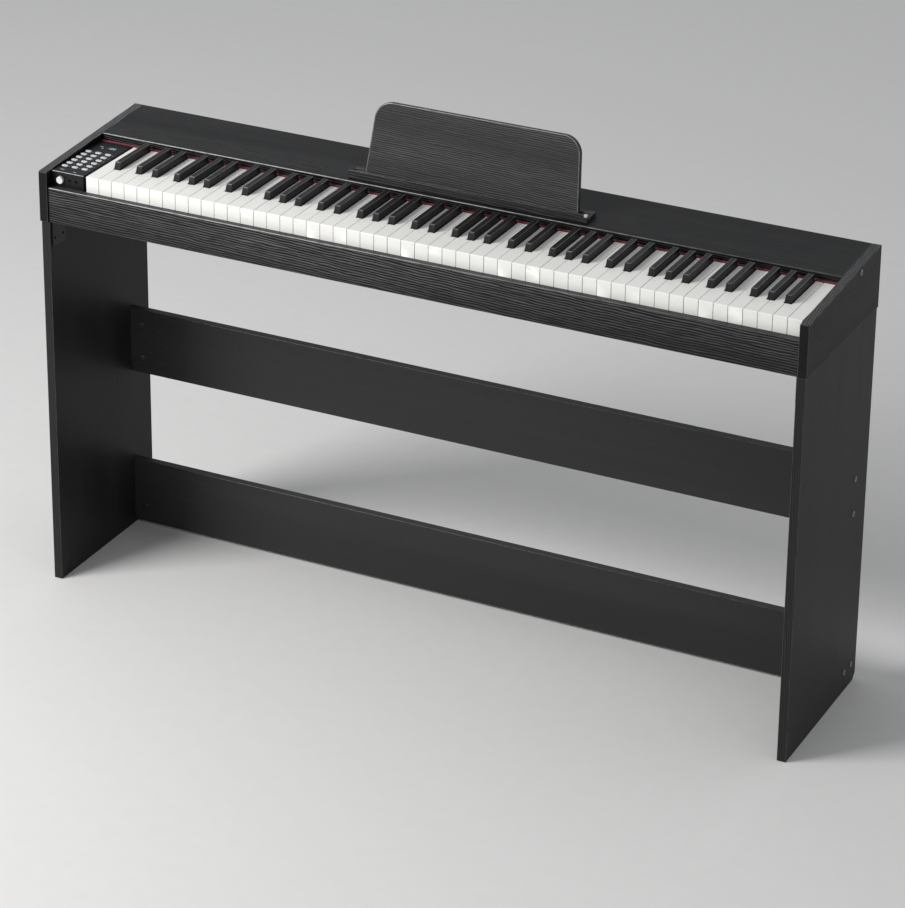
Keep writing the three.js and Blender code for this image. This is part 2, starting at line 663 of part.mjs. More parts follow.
function restBoard() {
  const half = restBoardWidth / 2;
  const rise = restBoardHeight - restCorner;
  const corner = half - (restCorner + rise * Math.sin(restTaper)) / Math.cos(restTaper);
  const shape = new THREE.Shape();
  shape.moveTo(-half, 0);
  shape.lineTo(half, 0);
  shape.absarc(corner, rise, restCorner, restTaper, Math.PI / 2, false);
  shape.absarc(-corner, rise, restCorner, Math.PI / 2, Math.PI - restTaper, false);
  const geometry = new THREE.ExtrudeGeometry(shape, {
    depth: restBoardThickness, bevelEnabled: false, curveSegments: 8 });
  return solid(geometry.rotateX(Math.PI / 2).translate(0, restBoardThickness, 0));
}
const boardRise = seat + restBoardThickness * Math.sin(leanOnCover);
const restBoardMesh = add('music_rest_board', restBoard(), laminate(), rest);
restBoardMesh.position.set(0, boardFoot + seat / Math.cos(leanOnCover) + boardRise * Math.tan(leanOnCover),
  grooveFloor + boardRise);
restBoardMesh.rotation.x = -leanOnCover;

export default piano;
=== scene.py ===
# %% [markdown]
# # A slim digital piano on a board stand
# The cabinet and the stand are black laminated boards, 15 mm thick, screwed together at right angles.
# Between the two cheeks lie 88 keys, a small control panel and a strip of red felt, and a music rest stands
# on the cover. We take the engineering model as a fixed frame and give every piece its real edges and
# finish.

# %% Load the frame
import json
import math

import bmesh
import bpy
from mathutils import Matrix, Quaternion, Vector

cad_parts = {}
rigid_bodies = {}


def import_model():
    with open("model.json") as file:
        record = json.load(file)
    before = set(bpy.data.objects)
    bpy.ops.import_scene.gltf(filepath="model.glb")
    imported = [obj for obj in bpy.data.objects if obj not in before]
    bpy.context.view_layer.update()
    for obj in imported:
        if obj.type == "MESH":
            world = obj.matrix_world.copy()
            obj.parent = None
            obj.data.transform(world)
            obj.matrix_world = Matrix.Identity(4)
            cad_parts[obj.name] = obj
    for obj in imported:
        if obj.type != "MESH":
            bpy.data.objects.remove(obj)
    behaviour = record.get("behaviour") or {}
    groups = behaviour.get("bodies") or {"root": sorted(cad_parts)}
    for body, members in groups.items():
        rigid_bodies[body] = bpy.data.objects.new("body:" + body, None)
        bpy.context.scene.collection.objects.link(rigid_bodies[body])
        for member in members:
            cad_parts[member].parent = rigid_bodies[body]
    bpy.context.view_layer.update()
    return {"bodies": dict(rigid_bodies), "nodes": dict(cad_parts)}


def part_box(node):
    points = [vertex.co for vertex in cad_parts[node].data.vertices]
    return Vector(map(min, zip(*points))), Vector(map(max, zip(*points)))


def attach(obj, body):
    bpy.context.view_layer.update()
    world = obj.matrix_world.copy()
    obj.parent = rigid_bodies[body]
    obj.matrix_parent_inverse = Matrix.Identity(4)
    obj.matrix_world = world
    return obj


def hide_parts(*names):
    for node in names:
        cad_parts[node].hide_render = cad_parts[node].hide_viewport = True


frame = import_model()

body_names = sorted(frame["bodies"])
print("bodies in the frame:", len(body_names), "nodes:", len(frame["nodes"]))

# %% [markdown]
# ## Working by hand, in code
# Every piece starts as a primitive at its real size. We then select faces or edges by where they are and
# which way they look, and use the same operators as in the window: extrude, inset, bevel, bisect. An
# operator acts on all that is selected, so each helper first deselects everything.

# %% One piece at a time
mm = 0.001
main_body = "cabinet_and_stand"


def select_nothing():
    if bpy.context.mode != "OBJECT":
        bpy.ops.object.mode_set(mode="OBJECT")
    bpy.ops.object.select_all(action="DESELECT")


def only(piece):
    select_nothing()
    piece.select_set(True)
    bpy.context.view_layer.objects.active = piece


def settle(piece):
    """Puts the piece's place, turn and size into its mesh, so that its object sits at the origin."""
    only(piece)
    bpy.ops.object.transform_apply(location=True, rotation=True, scale=True)


def start_box(name, low, high):
    select_nothing()
    middle = [(a + b) / 2 for a, b in zip(low, high)]
    size = [b - a for a, b in zip(low, high)]
    bpy.ops.mesh.primitive_cube_add(size=1, location=middle, scale=size)
    piece = bpy.context.object
    piece.name = name
    settle(piece)
    return piece


def start_rod(name, radius, start, end, sides=32):
    """A cylinder between two points."""
    select_nothing()
    line = Vector(end) - Vector(start)
    middle = (Vector(start) + Vector(end)) / 2
    turn = line.to_track_quat("Z", "Y").to_euler()
    bpy.ops.mesh.primitive_cylinder_add(vertices=sides, radius=radius, depth=line.length,
                                        location=middle, rotation=turn)
    piece = bpy.context.object
    piece.name = name
    settle(piece)
    return piece


# %% Select faces and edges by place and direction
touch = 0.1 * mm
same_way = 0.9


def pick(piece, kind, wanted):
    """Selects the faces, edges or corners that pass a test."""
    only(piece)
    bpy.ops.object.mode_set(mode="EDIT")
    bpy.ops.mesh.select_mode(type=kind)
    bpy.ops.mesh.select_all(action="DESELECT")
    cage = bmesh.from_edit_mesh(piece.data)
    for part in {"FACE": cage.faces, "EDGE": cage.edges, "VERT": cage.verts}[kind]:
        if wanted(part):
            part.select_set(True)
    if kind == "VERT":
        cage.select_flush(True)
    bmesh.update_edit_mesh(piece.data)


def pick_faces(piece, towards, where=lambda middle: True):
    pick(piece, "FACE", lambda face: face.normal.dot(Vector(towards)) > same_way
         and where(face.calc_center_median()))


def pick_edges(piece, along, where=lambda middle: True):
    def wanted(edge):
        a, b = (corner.co for corner in edge.verts)
        return abs((b - a).normalized().dot(Vector(along))) > same_way and where((a + b) / 2)

    pick(piece, "EDGE", wanted)


def extrude(offset):
    bpy.ops.mesh.extrude_region_move(TRANSFORM_OT_translate={"value": offset})


def slice_at(piece, point, normal):
    """Cuts all faces along a plane, which leaves a loop of edges there."""
    only(piece)
    bpy.ops.object.mode_set(mode="EDIT")
    bpy.ops.mesh.select_all(action="SELECT")
    bpy.ops.mesh.bisect(plane_co=point, plane_no=normal)


# %% Modifiers, applied at once
def apply_modifier(piece, kind, **settings):
    only(piece)
    modifier = piece.modifiers.new(kind.lower(), kind)
    for key, value in settings.items():
        setattr(modifier, key, value)
    bpy.ops.object.modifier_apply(modifier=modifier.name)


def merge(name, pieces):
    """Joins pieces that don't touch into one object."""
    only(pieces[0])
    for other in pieces[1:]:
        other.select_set(True)
    if len(pieces) > 1:
        bpy.ops.object.join()
    pieces[0].name = name
    return pieces[0]


def cut(piece, tools, operation="DIFFERENCE"):
    tool = merge("tool", tools)
    apply_modifier(piece, "BOOLEAN", object=tool, operation=operation, solver="EXACT")
    bpy.data.objects.remove(tool)


def weld(piece, part):
    cut(piece, [part], operation="UNION")


def round_edges(piece, width, segments=2, angle=40, slot=-1):
    """Bevels all sharp edges. A slot number gives the new faces that material of the piece."""
    apply_modifier(piece, "BEVEL", width=width, segments=segments, limit_method="ANGLE",
                   angle_limit=math.radians(angle), use_clamp_overlap=True, material=slot)


def smooth(piece, angle=50):
    only(piece)
    bpy.ops.object.shade_smooth_by_angle(angle=math.radians(angle))
    apply_modifier(piece, "WEIGHTED_NORMAL", keep_sharp=True)


def copy_of(piece, name, offset, turn=(0, 0, 0)):
    only(piece)
    bpy.ops.object.duplicate(linked=False)
    twin = bpy.context.object
    twin.name = name
    twin.rotation_euler = turn
    twin.location = offset
    settle(twin)
    return twin


def dress(piece, body, material, nodes=()):
    """Gives the piece its material, unless it has some already, and ties it to the frame."""
    if not piece.data.materials:
        piece.data.materials.append(material)
    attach(piece, body)
    if nodes:
        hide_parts(*nodes)


# %% [markdown]
# ## Finishes
# Materials are node trees on Object coordinates. All pieces sit at the origin with their place in their
# mesh, so those coordinates are metres in the piano itself, and a grain line is as wide on one board as on
# another.

# %% Short ways to write a node tree
def new_material(name, color, roughness, **constants):
    material = bpy.data.materials.new(name)
    material.use_nodes = True
    shader = material.node_tree.nodes["Principled BSDF"]
    shader.inputs["Base Color"].default_value = (*color, 1)
    shader.inputs["Roughness"].default_value = roughness
    for key, value in constants.items():
        shader.inputs[key.replace("_", " ")].default_value = value
    return material, shader


def add_node(material, kind, inputs=None, **settings):
    made = material.node_tree.nodes.new("ShaderNode" + kind)
    for key, value in settings.items():
        setattr(made, key, value)
    for key, value in (inputs or {}).items():
        connect(material, value, made.inputs[key])
    return made


def connect(material, value, socket):
    if isinstance(value, bpy.types.NodeSocket):
        material.node_tree.links.new(value, socket)
    else:
        socket.default_value = value


def place_coordinates(material, stretch=(1, 1, 1), shift=(0, 0, 0)):
    source = add_node(material, "TexCoord").outputs["Object"]
    placing = {"Vector": source, "Scale": stretch, "Location": shift}
    return add_node(material, "Mapping", placing).outputs["Vector"]


def noise(material, vector, scale, detail=3, roughness=0.5, distortion=0):
    return add_node(material, "TexNoise", {"Vector": vector, "Scale": scale, "Detail": detail,
                                           "Roughness": roughness, "Distortion": distortion}).outputs["Fac"]


def ramp(material, value, *stops):
    """Turns a value into colours, from (position, grey or colour) stops."""
    made = add_node(material, "ValToRGB", {"Fac": value})
    scale = made.color_ramp.elements
    while len(scale) < len(stops):
        scale.new(0.5)
    for element, (position, color) in zip(scale, stops):
        element.position = position
        element.color = (color, color, color, 1) if isinstance(color, (int, float)) else (*color, 1)
    return made.outputs["Color"]


def blend_colors(material, share, first, second, mode="MIX"):
    made = add_node(material, "Mix", data_type="RGBA", blend_type=mode)
    for socket, value in ((made.inputs[0], share), (made.inputs[6], first), (made.inputs[7], second)):
        connect(material, (*value, 1) if isinstance(value, tuple) else value, socket)
    return made.outputs[2]


def between(material, value, low, high):
    return add_node(material, "MapRange", {"Value": value, "To Min": low, "To Max": high}).outputs["Result"]


def bump(material, height, strength, distance, normal=None):
    inputs = {"Height": height, "Strength": strength, "Distance": distance}
    if normal is not None:
        inputs["Normal"] = normal
    return add_node(material, "Bump", inputs).outputs["Normal"]


# %% [markdown]
# ### Black wood-grain laminate
# The boards are chipboard in a printed and embossed film: near-black, with fine wavy pores along the board.
# Thin grey lines along the pores are painted into the colour: partly the printed grain, partly a painted
# glint of the light that the pores catch. A wave texture gives evenly spaced lines, two noises bend them at a
# long and at a short scale, and a third one breaks them into strokes, so that no line runs on like a ruled
# one.

# %% The laminate, for a board whose grain runs along one axis
line_spacing = 4.2 * mm


along_board, pore_stretch = 0.03, 0.06
# A wave texture whose scale is 0.628 / spacing has one line per spacing.
scale_times_spacing = 0.628


def laminate(name, grain_axis, shift, line_strength, base_grey, line_grey=0.1):
    material, shader = new_material(name, (base_grey,) * 3, 0.5, Specular_IOR_Level=0.2)
    stretch = [1.0, 1.0, 1.0]
    stretch["XYZ".index(grain_axis)] = pore_stretch
    plain = place_coordinates(material, (1, 1, 1), shift)

    def bent(vector, scale, reach, longer):
        squeezed = [1 / longer if side < 1 else 1 for side in stretch]
        source = add_node(material, "Mapping", {"Vector": plain, "Scale": squeezed}).outputs["Vector"]
        wander = add_node(material, "TexNoise", {"Vector": source, "Scale": scale, "Detail": 2})
        centred = add_node(material, "VectorMath", {0: wander.outputs["Color"], 1: (0.5, 0.5, 0.5)},
                           operation="SUBTRACT")
        amount = add_node(material, "VectorMath", {0: centred.outputs[0], "Scale": reach}, operation="SCALE")
        return add_node(material, "VectorMath", {0: vector, 1: amount.outputs[0]}, operation="ADD").outputs[0]

    wavy = bent(bent(plain, 7, 0.012, 5), 55, 0.0032, 2.5)
    far_along = [along_board if side < 1 else 1 for side in stretch]
    ruled = add_node(material, "Mapping", {"Vector": wavy, "Scale": far_along}).outputs["Vector"]
    wave_inputs = {"Vector": ruled, "Scale": scale_times_spacing / line_spacing, "Distortion": 3.5,
                   "Detail": 3, "Detail Scale": 0.8, "Detail Roughness": 0.6}
    wave = add_node(material, "TexWave", wave_inputs, bands_direction="DIAGONAL").outputs["Fac"]
    along = add_node(material, "Mapping", {"Vector": wavy, "Scale": stretch}).outputs["Vector"]
    pores = noise(material, along, 480, detail=4, roughness=0.7)
    bands = noise(material, along, 16, detail=2)
    lines = add_node(material, "Math", {0: wave, 1: pores}, operation="MULTIPLY").outputs[0]
    strokes = ramp(material, lines, (0.2, 0), (0.46, 1))
    open_bands = ramp(material, bands, (0.34, 0.35), (0.62, 1))
    # The strokes are partly printed grain, partly painted glints of light on the pores; each copy sets their
    # strength.
    printed = blend_colors(material, 1.0, strokes, open_bands, mode="MULTIPLY")
    light = add_node(material, "Math", {0: printed, 1: line_strength}, operation="MULTIPLY").outputs[0]
    base = blend_colors(material, bands, (base_grey * 0.8,) * 3, (base_grey * 1.25,) * 3)
    color = blend_colors(material, light, base, (line_grey, line_grey, line_grey * 1.02))
    connect(material, color, shader.inputs["Base Color"])
    connect(material, between(material, printed, 0.42, 0.6), shader.inputs["Roughness"])
    embossed = bump(material, lines, 0.35, 0.0005)
    speckle = noise(material, plain, 1900, detail=1)
    connect(material, bump(material, speckle, 0.05, 0.0001, embossed), shader.inputs["Normal"])
    return material


# These seven copies stand for one and the same film. Their different base greys and line strengths are
# painted light and shade, set to how light falls on each board: the rail, leg and music-rest copies are made
# lighter, and the key slip, cover and music rest carry stronger grey lines.
cover_laminate = laminate("cover_laminate", "X", (0.3, 0.1, 0), 0.6, base_grey=0.002, line_grey=0.08)
slip_laminate = laminate("key_slip_laminate", "X", (0.9, 0, 0.2), 1.0, base_grey=0.003, line_grey=0.1)
rail_laminate = laminate("rail_laminate", "X", (0.2, 0.5, 0.4), 0.07, base_grey=0.026)
rest_laminate = laminate("music_rest_laminate", "X", (0.7, 0.3, 0.1), 0.7, base_grey=0.022)
cheek_laminate = laminate("cheek_laminate", "Y", (0.4, 0.2, 0.9), 0.04, base_grey=0.002)
# A lighter copy of the cheek film for the cheeks' top faces: painted light on the faces that look up, and a
# painted highlight on the upper part of the rounded front edge.
cheek_top_lit_laminate = laminate("cheek_top_lit_laminate", "Y", (0.5, 0.1, 0.3), 1.0, base_grey=0.035,
                              line_grey=0.17)
leg_laminate = laminate("leg_laminate", "Z", (0.1, 0.8, 0.3), 0.14, base_grey=0.012)
print("laminates:", 7)


# %% The edges, where the film is folded tight: a lighter colour painted on as a highlight, broken by wear
def edge_finish(name, dull, bright, highlight_fade=None):
    material, shader = new_material(name, (bright,) * 3, 0.3, Specular_IOR_Level=0.5)
    where = place_coordinates(material)
    rubbed = noise(material, where, 60, detail=5, roughness=0.7)
    # The colour runs from the dull grey to the bright one over a wear noise: the bright share is a painted
    # highlight, the broken pattern is wear.
    wear_and_highlight = ramp(material, rubbed, (0.36, dull), (0.6, bright))
    # The fade factor paints the highlight brightest at the left end and dimmer towards the right: a painted
    # fall-off of the light from the left.
    if highlight_fade:
        across = add_node(material, "SeparateXYZ", {"Vector": where}).outputs["X"]
        painted_light_falloff = add_node(material, "MapRange", {"Value": across, "From Min": -0.3, "From Max": 0.5,
                                                     "To Min": 1, "To Max": highlight_fade}).outputs["Result"]
        wear_and_highlight = blend_colors(material, 1.0, wear_and_highlight, painted_light_falloff, mode="MULTIPLY")
    connect(material, wear_and_highlight, shader.inputs["Base Color"])
    connect(material, between(material, rubbed, 0.22, 0.42), shader.inputs["Roughness"])
    connect(material, bump(material, noise(material, where, 900), 0.08, 0.0001), shader.inputs["Normal"])
    return material


# A lighter colour for the rounded edges of every laminated board: a painted highlight along each edge, broken
# by wear.
edge_band_and_highlight = edge_finish("laminate_edge", 0.012, 0.05)
# A brighter edge for the front top edges of the cover, the key slip and the panel: a painted highlight,
# brightest at the left end and fading towards the right.
front_edge_highlight = edge_finish("laminate_front_edge_highlight", 0.16, 0.36, highlight_fade=0.18)
# A lighter ring for the music rest's front face: a painted highlight line along its rounded edge.
rest_rim_highlight = edge_finish("music_rest_rim", 0.08, 0.2)
print("edge finishes:", edge_band_and_highlight.name, front_edge_highlight.name, rest_rim_highlight.name)

# %% [markdown]
# ### Key plastics
# White keys are a warm white plastic with a soft gloss. Black keys are matt, with a fine moulded texture.
# Both have faint wear: the white ones shine a little more where fingers polish them, so their roughness
# wanders.

# %% White and black keys
def key_plastics():
    white, shader = new_material("white_key_plastic", (0.86, 0.85, 0.81), 0.3, Specular_IOR_Level=0.5)
    where = place_coordinates(white)
    tint = blend_colors(white, noise(white, where, 22, detail=2), (0.84, 0.83, 0.785), (0.885, 0.875, 0.84))
    connect(white, tint, shader.inputs["Base Color"])
    polish = between(white, noise(white, where, 55, detail=4, roughness=0.6), 0.2, 0.42)
    connect(white, polish, shader.inputs["Roughness"])
    grit = noise(white, where, 1400, detail=2)
    connect(white, bump(white, grit, 0.05, 0.0001), shader.inputs["Normal"])

    black, shader = new_material("black_key_plastic", (0.008, 0.008, 0.009), 0.42, Specular_IOR_Level=0.3)
    where = place_coordinates(black)
    tint = blend_colors(black, noise(black, where, 160, detail=3),
                        (0.005, 0.005, 0.006), (0.012, 0.012, 0.013))
    connect(black, tint, shader.inputs["Base Color"])
    polish = between(black, noise(black, where, 70, detail=4, roughness=0.6), 0.34, 0.52)
    connect(black, polish, shader.inputs["Roughness"])
    grain = noise(black, place_coordinates(black, (1, 0.12, 1)), 900, detail=3)
    connect(black, bump(black, grain, 0.25, 0.0002), shader.inputs["Normal"])
    return white, black


white_plastic, black_plastic = key_plastics()
# A lighter finish for the rounded top edges of the black keys: a painted highlight.
black_edge_highlight = edge_finish("black_key_edge_painted_highlight", 0.05, 0.12)
print("key plastics:", white_plastic.name, black_plastic.name, black_edge_highlight.name)

# %% [markdown]
# ### Felt
# Pressed wool felt has no weave: it is a mat of fibres in many directions. Two stretched noises at
# different angles give the fibres, and sheen on the shader's own socket gives the soft rim of light.

# %% Dark red felt
def red_felt_material():
    material, shader = new_material("red_felt", (0.2, 0.01, 0.025), 0.95, Sheen_Weight=0.1,
                                    Sheen_Roughness=0.6)
    one_way = noise(material, place_coordinates(material, (1, 0.3, 0.5)), 900, detail=4)
    other_way = noise(material, place_coordinates(material, (0.3, 1, 0.6), (0.4, 0.1, 0)), 1100, detail=4)
    fibres = add_node(material, "Math", {0: one_way, 1: other_way}, operation="MULTIPLY").outputs[0]
    color = ramp(material, fibres, (0.12, (0.07, 0.002, 0.006)), (0.42, (0.26, 0.01, 0.03)))
    connect(material, color, shader.inputs["Base Color"])
    connect(material, bump(material, fibres, 0.8, 0.0008), shader.inputs["Normal"])
    return material


red_felt = red_felt_material()
print("felt:", red_felt.name)

# %% [markdown]
# ### Plastics and metals of the fittings
# The small pieces share one recipe: a base colour that wanders a little, roughness with faint rub marks,
# and a fine bump. Only the numbers differ between moulded plastic, rubber, paint, powder coat and zinc.

# %% One recipe, many fittings
def fitting(name, dark, light, rough_low, rough_high, grain_scale, grain_strength, **constants):
    material, shader = new_material(name, light, rough_high, **constants)
    where = place_coordinates(material)
    color = blend_colors(material, noise(material, where, 140, detail=3), dark, light)
    connect(material, color, shader.inputs["Base Color"])
    rubs = noise(material, place_coordinates(material, (1, 0.4, 1)), 260, detail=4, roughness=0.65)
    connect(material, between(material, rubs, rough_low, rough_high), shader.inputs["Roughness"])
    grain = noise(material, where, grain_scale, detail=2)
    connect(material, bump(material, grain, grain_strength, 0.0002), shader.inputs["Normal"])
    return material


panel_plastic = fitting("panel_plastic", (0.004, 0.004, 0.0045), (0.008, 0.008, 0.009), 0.3, 0.5, 1700, 0.3,
                        Specular_IOR_Level=0.25)
frame_plastic = fitting("frame_plastic", (0.018, 0.018, 0.019), (0.03, 0.03, 0.031), 0.45, 0.65, 1200, 0.3)
button_rubber = fitting("grey_button_rubber", (0.5, 0.505, 0.51), (0.62, 0.625, 0.63), 0.3, 0.5, 2200, 0.15)
silver_paint = fitting("silver_knob_paint", (0.68, 0.685, 0.69), (0.8, 0.805, 0.81), 0.25, 0.4, 2600, 0.1,
                       Metallic=0.5)
powder_coat = fitting("bracket_powder_coat", (0.006, 0.006, 0.0065), (0.012, 0.012, 0.013), 0.4, 0.6, 2400,
                      0.45)
bolt_steel = fitting("bolt_steel", (0.2, 0.2, 0.205), (0.34, 0.34, 0.35), 0.22, 0.4, 1500, 0.12, Metallic=1.0)
speaker_steel = fitting("speaker_steel", (0.02, 0.02, 0.02), (0.035, 0.035, 0.035), 0.4, 0.6, 1500, 0.2)
pale_ink = fitting("pale_ink", (0.6, 0.6, 0.6), (0.75, 0.75, 0.75), 0.5, 0.6, 1500, 0.05)
display_glass = fitting("display_glass", (0.004, 0.004, 0.005), (0.007, 0.007, 0.008), 0.08, 0.16, 900, 0.02)
raw_edge = fitting("pale_core_edge", (0.45, 0.44, 0.42), (0.62, 0.61, 0.58), 0.7, 0.85, 1100, 0.4)
print("fittings:", 10)


# %% Circuit boards: green lacquer over copper tracks
def circuit_material():
    material, shader = new_material("circuit_board", (0.02, 0.1, 0.045), 0.35)
    where = place_coordinates(material)
    tracks = add_node(material, "TexBrick", {"Vector": where, "Scale": 60, "Mortar Size": 0.06,
                                             "Color1": (0, 0, 0, 1), "Color2": (0, 0, 0, 1),
                                             "Mortar": (1, 1, 1, 1)}).outputs["Color"]
    lacquer = blend_colors(material, noise(material, where, 90), (0.012, 0.075, 0.033), (0.022, 0.11, 0.05))
    color = blend_colors(material, tracks, lacquer, (0.05, 0.19, 0.08))
    connect(material, color, shader.inputs["Base Color"])
    connect(material, bump(material, tracks, 0.2, 0.0002), shader.inputs["Normal"])
    return material


circuit_green = circuit_material()
print("circuit board material:", circuit_green.name)

# %% [markdown]
# ## The boards
# A laminated board is a box with slightly broken edges: about 0.8 mm. That bevel and a lighter colour painted
# on it, a painted highlight, make a thin line of light along each edge. So each board is a box at its real
# size, shaped where it isn't square, its edges bevelled, and then drilled, so that the bevel doesn't run into
# the holes.

# %% Sizes that the boards share
edge_break = 0.8 * mm
left_cheek_low, left_cheek_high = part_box("left_cheek")
right_cheek_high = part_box("right_cheek")[1]
cabinet_front, cabinet_back = left_cheek_low.y, left_cheek_high.y
cheek_front_top = 732 * mm
cheek_slope = math.atan2(left_cheek_high.z - cheek_front_top, cabinet_back - cabinet_front)


def cover_plane(y):
    """Height of the sloping top of the cheeks and the cover."""
    return cheek_front_top + (y - cabinet_front) * math.tan(cheek_slope)


print("cheeks rise", round(math.degrees(cheek_slope), 2), "degrees to the back")

# %% Bolts: where they go
bolt_head_radius, bolt_head_height, bolt_proud = 5 * mm, 3 * mm, 1 * mm
bolt_shank_radius, bolt_length, bolt_air = 3 * mm, 50 * mm, 0.4 * mm


def bolt_hole(sign, outer, y, z):
    face_gap = sign * 2 * mm
    head_end = outer - sign * (bolt_head_height + bolt_air)
    tip = outer - sign * (bolt_length + bolt_air)
    wide = start_rod("wide", bolt_head_radius + bolt_air, (outer + face_gap, y, z), (head_end, y, z))
    thin = start_rod("thin", bolt_shank_radius + bolt_air, (outer + face_gap, y, z), (tip, y, z))
    weld(wide, thin)
    return wide


cheek_screw_y = 62.5 * mm
cheek_screw_depth = 7.5 * mm
cheek_screw_z = cover_plane(cheek_screw_y) - cheek_screw_depth / math.cos(cheek_slope)
mid_rail_low, mid_rail_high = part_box("mid_rail")
rail_front, rail_back = mid_rail_low.y, mid_rail_high.y
rail_middle = (rail_front + rail_back) / 2
shelf_low, shelf_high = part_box("foot_shelf")
shelf_middle_z = (shelf_low.z + shelf_high.z) / 2
shelf_bolt_y = (rail_back + cabinet_back) / 2
bolt_inset = 28 * mm
leg_bolts = {
    "rail_bolt_upper": (rail_middle, mid_rail_high.z - bolt_inset),
    "rail_bolt_lower": (rail_middle, mid_rail_low.z + bolt_inset),
    "foot_bolt_front": (rail_middle, shelf_middle_z),
    "foot_bolt_rear": (shelf_bolt_y, shelf_middle_z),
}
print("bolts in each leg:", len(leg_bolts))

# %% Barrel nuts: the holes for them
nut_radius, nut_length, nut_recess, nut_from_end = 5 * mm, 13 * mm, 0.5 * mm, 20 * mm
nut_x = mid_rail_high.x - nut_from_end


def nut_line(name, sign):
    """Mouth and direction of a barrel nut's hole."""
    y, z = leg_bolts[name]
    if name == "foot_bolt_rear":
        return Vector((sign * nut_x, y, shelf_low.z)), Vector((0, 0, 1))
    return Vector((sign * nut_x, rail_front, z)), Vector((0, 1, 0))


def nut_hole(name, sign):
    mouth, inward = nut_line(name, sign)
    reach = nut_recess + nut_length + bolt_air
    return start_rod("nut_hole", nut_radius + bolt_air, mouth - inward * mm, mouth + inward * reach)


# %% A board from its CAD node's box
def wrap(piece, material, edge, segments=3, special=None, chosen=None):
    """Laminate on the piece, a painted highlight on its rounded edges, and a special one, also painted light,
    on the chosen faces.
    """
    for finish in (material, edge_band_and_highlight, special or front_edge_highlight):
        piece.data.materials.append(finish)
    round_edges(piece, edge, segments=segments, slot=1)
    for face in piece.data.polygons:
        if chosen and chosen(face):
            face.material_index = 2


def board(node, material, edge=edge_break, shape=None, holes=(), special=None, chosen=None):
    low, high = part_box(node)
    piece = start_box(node + "_board", low, high)
    if shape:
        shape(piece, low, high)
    wrap(piece, material, edge, special=special, chosen=chosen)
    if holes:
        cut(piece, list(holes))
    smooth(piece)
    dress(piece, main_body, material, [node])
    print(piece.name, "faces:", len(piece.data.polygons))
    return piece


# %% [markdown]
# ### Cheeks
# The side boards of the cabinet rise a little to the back. Moving the front top edge of the box down gives
# the slope, and that edge is the one that hands brush past, so it is rounded more than the others.

# %% Cheeks with their screw holes
cheek_upper_part = 700 * mm
looks_up = 0.6


def slope_top(piece, low, high):
    def front_top(middle):
        return middle.y < 0 and middle.z > low.z + 10 * mm

    pick_edges(piece, (1, 0, 0), front_top)
    bpy.ops.transform.translate(value=(0, 0, cheek_front_top - high.z))
    pick_edges(piece, (1, 0, 0), front_top)
    bpy.ops.mesh.bevel(offset=3 * mm, segments=4, affect="EDGES")


for side, sign in (("left", -1), ("right", 1)):
    node = side + "_cheek"
    low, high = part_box(node)
    outer = (low.x if sign < 0 else high.x) + sign * bolt_proud
    hole = bolt_hole(sign, outer, cheek_screw_y, cheek_screw_z)
    # Faces that look up on the upper part take the lighter cheek-top copy: painted light, and a painted
    # highlight on the rounded front edge.
    board(node, cheek_laminate, shape=slope_top, holes=[hole], special=cheek_top_lit_laminate,
          chosen=lambda face: face.normal.z > looks_up and face.center.z > cheek_upper_part)

# %% [markdown]
# ### Top cover, back board and bottom board
# The cover follows the slope of the cheeks: we move the long edges of its box up or down to their places.
# The back board has a window for the sockets, and the bottom board two groups of slots for the sound of the
# speakers.

# %% Top cover
board_thickness = 15 * mm
cover_thickness = board_thickness / math.cos(cheek_slope)
cover_edge_zone = 1.3 * mm


def slope_cover(piece, low, high):
    for y in (low.y, high.y):
        top = cover_plane(y)
        pick_edges(piece, (1, 0, 0), lambda middle: abs(middle.y - y) < mm
                   and middle.z > 0.5 * (low.z + high.z))
        bpy.ops.transform.translate(value=(0, 0, top - high.z))
        pick_edges(piece, (1, 0, 0), lambda middle: abs(middle.y - y) < mm
                   and abs(middle.z - low.z) < touch)
        bpy.ops.transform.translate(value=(0, 0, top - cover_thickness - low.z))


cover_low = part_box("top_cover")[0]
# The front top edge takes the bright front-edge finish: a painted highlight, fading towards the right.
board("top_cover", cover_laminate, edge=1.2 * mm, shape=slope_cover,
      chosen=lambda face: face.center.y < cover_low.y + cover_edge_zone
      and face.center.z > cover_plane(face.center.y) - cover_edge_zone)

# %% Back board with the socket window
jack_low, jack_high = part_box("rear_jack_plate")
window_margin_x, window_margin_z = 10 * mm, 8 * mm
back_low, back_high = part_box("back_board")
window = start_box("window", (jack_low.x + window_margin_x, back_low.y - mm, jack_low.z + window_margin_z),
                   (jack_high.x - window_margin_x, back_high.y + mm, jack_high.z - window_margin_z))
pick_edges(window, (0, 1, 0))
bpy.ops.mesh.bevel(offset=3 * mm, segments=4, affect="EDGES")
only(window)
board("back_board", rail_laminate, holes=[window])

# %% Bottom board with its sound slots
speaker_low, speaker_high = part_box("right_speaker")
speaker_x, speaker_y = (speaker_low.x + speaker_high.x) / 2, (speaker_low.y + speaker_high.y) / 2
slot_width, slot_pitch, slot_count, slot_reach = 4 * mm, 9 * mm, 7, 32 * mm
bottom_low, bottom_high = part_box("bottom_board")


def sound_slots(centre_x):
    tools = []
    for index in range(slot_count):
        offset = (index - (slot_count - 1) / 2) * slot_pitch
        half = math.sqrt(slot_reach ** 2 - offset ** 2)
        x = centre_x + offset
        tool = start_box("slot", (x - slot_width / 2, speaker_y - half, bottom_low.z - mm),
                         (x + slot_width / 2, speaker_y + half, bottom_high.z + mm))
        pick_edges(tool, (0, 0, 1))
        bpy.ops.mesh.bevel(offset=1.9 * mm, segments=4, affect="EDGES")
        only(tool)
        tools.append(tool)
    return tools


board("bottom_board", rail_laminate, holes=sound_slots(-speaker_x) + sound_slots(speaker_x))

